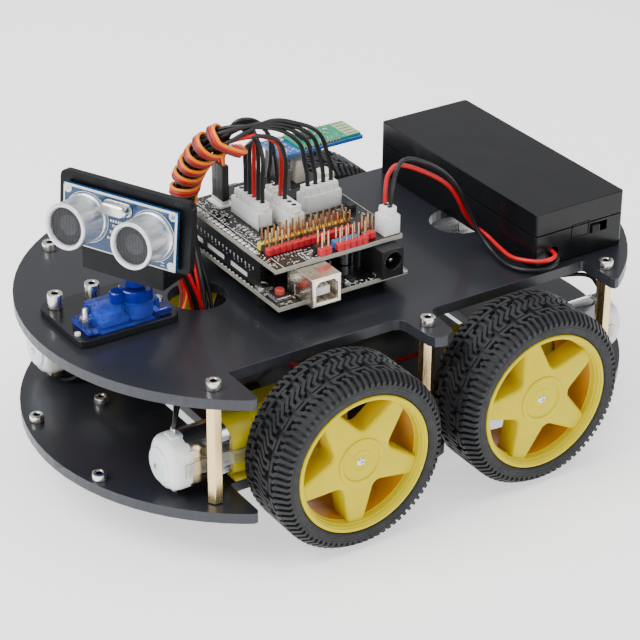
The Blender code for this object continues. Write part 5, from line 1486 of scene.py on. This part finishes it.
# servo lead: three wires side by side, wound round the loom five times
i0, i1 = 42, N - 7
turns = 5.9
ribbon = [[], [], []]
steps = 260
for s in range(steps + 1):
    f = s / steps
    fi = i0 + (i1 - i0) * f
    i = min(N - 2, int(fi))
    g = fi - i
    P0, T0, U0, W0 = FR[i]
    P1, T1, U1, W1 = FR[i + 1]
    pc, tc, uc, wc = P0.lerp(P1, g), T0.lerp(T1, g).normalized(), U0.lerp(U1, g).normalized(), W0.lerp(W1, g).normalized()
    a = 2 * pi * turns * f - 0.9
    R = 4.75 + 0.45 * f + 0.12 * math.sin(9 * f)
    for w in range(3):
        off = (w - 1) * 1.22
        ribbon[w].append(pc + uc * (R * math.cos(a)) + wc * (R * math.sin(a)) + tc * off)
SVX = [-26.45, -23.91, -21.37]
for w, col in enumerate(("w_brown", "w_red", "w_orange")):
    q0 = ribbon[w]
    start = [Vector((PAN_X + (w - 1) * 1.25, -74.9, SV + 4.0)), Vector((PAN_X + (w - 1) * 1.25 - 1.0, -71.0, SV + 3.0)),
             Vector((-3.0 + (w - 1) * 0.9, -60.0, 55.5 + (w - 1) * 0.9)), Vector((-6.6, -55.4 + (w - 1) * 1.0, 62.0)),
             Vector((-11.5 + (w - 1) * 0.4, -53.2 + (w - 1) * 0.8, 70.0))]
    endp = Vector((SVX[w], -29.7, SHIELD_TOP + 16.2))
    last = q0[-1]
    outw = [Vector((last.x + 1.5, last.y + 4.5, last.z - 1.8 + 0.3 * w)), Vector((-9.0 + 1.4 * w, -33.0 + 0.6 * w, 113.5 + 0.5 * w)),
            Vector((-15.5 + 1.8 * w, -30.2, 110.2 + 0.4 * w)), Vector((SVX[w] + 0.6, -29.7, SHIELD_TOP + 20.6))]
    knots = start + q0[6:-4:4] + outw + [endp]
    q = spline(knots, 1.1)
    p = P().mat(col)
    p.tube(q, 0.66, 9)
    p.done("servo_lead_%d" % w, "chassis", "wire_red" if w == 1 else "wire_black", smooth=60)

# sensor wires: four, from the plug behind the sensor board down into the cable hole
for w, col in enumerate(("w_red", "w_black", "w_black", "w_red")):
    s = LEAN @ Vector((-2.5 + 2.54 * w, 6.6, -8.8))
    s0 = LEAN @ Vector((-2.5 + 2.54 * w, 3.6, -8.8))
    knots = [s0, s, LEAN @ Vector((-2.5 + 2.4 * w, 9.6, -12.0)), Vector((4.0 + 1.4 * w, -66.6 + 0.5 * w, 84.0)), Vector((4.6 + 1.3 * w, -60.6 + 0.4 * w, 72.5)),
             Vector((4.4 + 1.3 * w, -58.6 + 0.6 * w, 64.0)), Vector((2.0 + 1.3 * w, -56.0, 56.0)), Vector((-6.0 + 1.6 * w, -52.0, 44.0)),
             Vector((-12.0 + 1.6 * w, -49.0, 23.0))]
    q = spline(knots, 1.3)
    p = P().mat(col)
    p.tube(q, 0.70, 9)
    ob = p.done("sensor_wire_%d" % w, "chassis", "wire_red" if col == "w_red" else "wire_black", smooth=60, raw=True)
    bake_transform(ob)

# ================================================================ floor, light, camera
me = bpy.data.meshes.new("floor")
b = bmesh.new()
vs = [b.verts.new(c) for c in ((-3, -3, -0.0002), (3, -3, -0.0002), (3, 3, -0.0002), (-3, 3, -0.0002))]
b.faces.new(vs)
b.to_mesh(me)
b.free()
floor = bpy.data.objects.new("floor", me)
SCENE.collection.objects.link(floor)
fm = pmat("floor_pale", (0.93, 0.93, 0.93), 0.75, var=0.01, vscale=3, bump=0.0, spec=0.1)
fm.node_tree.nodes["Principled BSDF"].inputs["Emission Color"].default_value = (1.0, 1.0, 1.0, 1.0)
fm.node_tree.nodes["Principled BSDF"].inputs["Emission Strength"].default_value = 0.9
me.materials.append(fm)


def area(name, loc, target, size, power, col=(1, 1, 1), size_y=None):
    l = bpy.data.lights.new(name, "AREA")
    l.energy = power
    l.color = col
    l.size = size
    if size_y:
        l.shape = "RECTANGLE"
        l.size_y = size_y
    o = bpy.data.objects.new(name, l)
    o.location = loc
    o.rotation_euler = (Vector(target) - Vector(loc)).to_track_quat("-Z", "Y").to_euler()
    SCENE.collection.objects.link(o)
    return o


area("key", (-0.15, -0.75, 0.95), (0, 0, 0.04), 0.75, 13.0)
area("fill", (0.95, 0.25, 0.45), (0, 0, 0.04), 0.6, 1.3)
area("top", (0.0, 0.2, 1.15), (0, 0, 0.04), 1.1, 10.0)
area("front", (0.55, -0.95, 0.22), (0, 0, 0.05), 0.5, 1.6)
w = bpy.data.worlds.new("studio")
SCENE.world = w
w.use_nodes = True
w.node_tree.nodes["Background"].inputs["Color"].default_value = (1, 1, 1, 1)
w.node_tree.nodes["Background"].inputs["Strength"].default_value = 0.60

AZ, EL, ROLL = math.radians(57.014), math.radians(28.926), math.radians(0.375)
back = Vector((math.sin(AZ) * math.cos(EL), -math.cos(AZ) * math.cos(EL), math.sin(EL)))
right = Vector((0, 0, 1)).cross(back).normalized()
up = back.cross(right)
r2 = right * math.cos(ROLL) + up * math.sin(ROLL)
u2 = up * math.cos(ROLL) - right * math.sin(ROLL)
cam = bpy.data.cameras.new("camera")
cam.lens = 127.55
cam.sensor_width = 36.0
cam.clip_start, cam.clip_end = 0.05, 20.0
cam.dof.use_dof = False
co = bpy.data.objects.new("camera", cam)
co.matrix_world = Matrix(((r2.x, u2.x, back.x, 0.6103), (r2.y, u2.y, back.y, -0.3985), (r2.z, u2.z, back.z, 0.4418), (0, 0, 0, 1)))
SCENE.collection.objects.link(co)
SCENE.camera = co
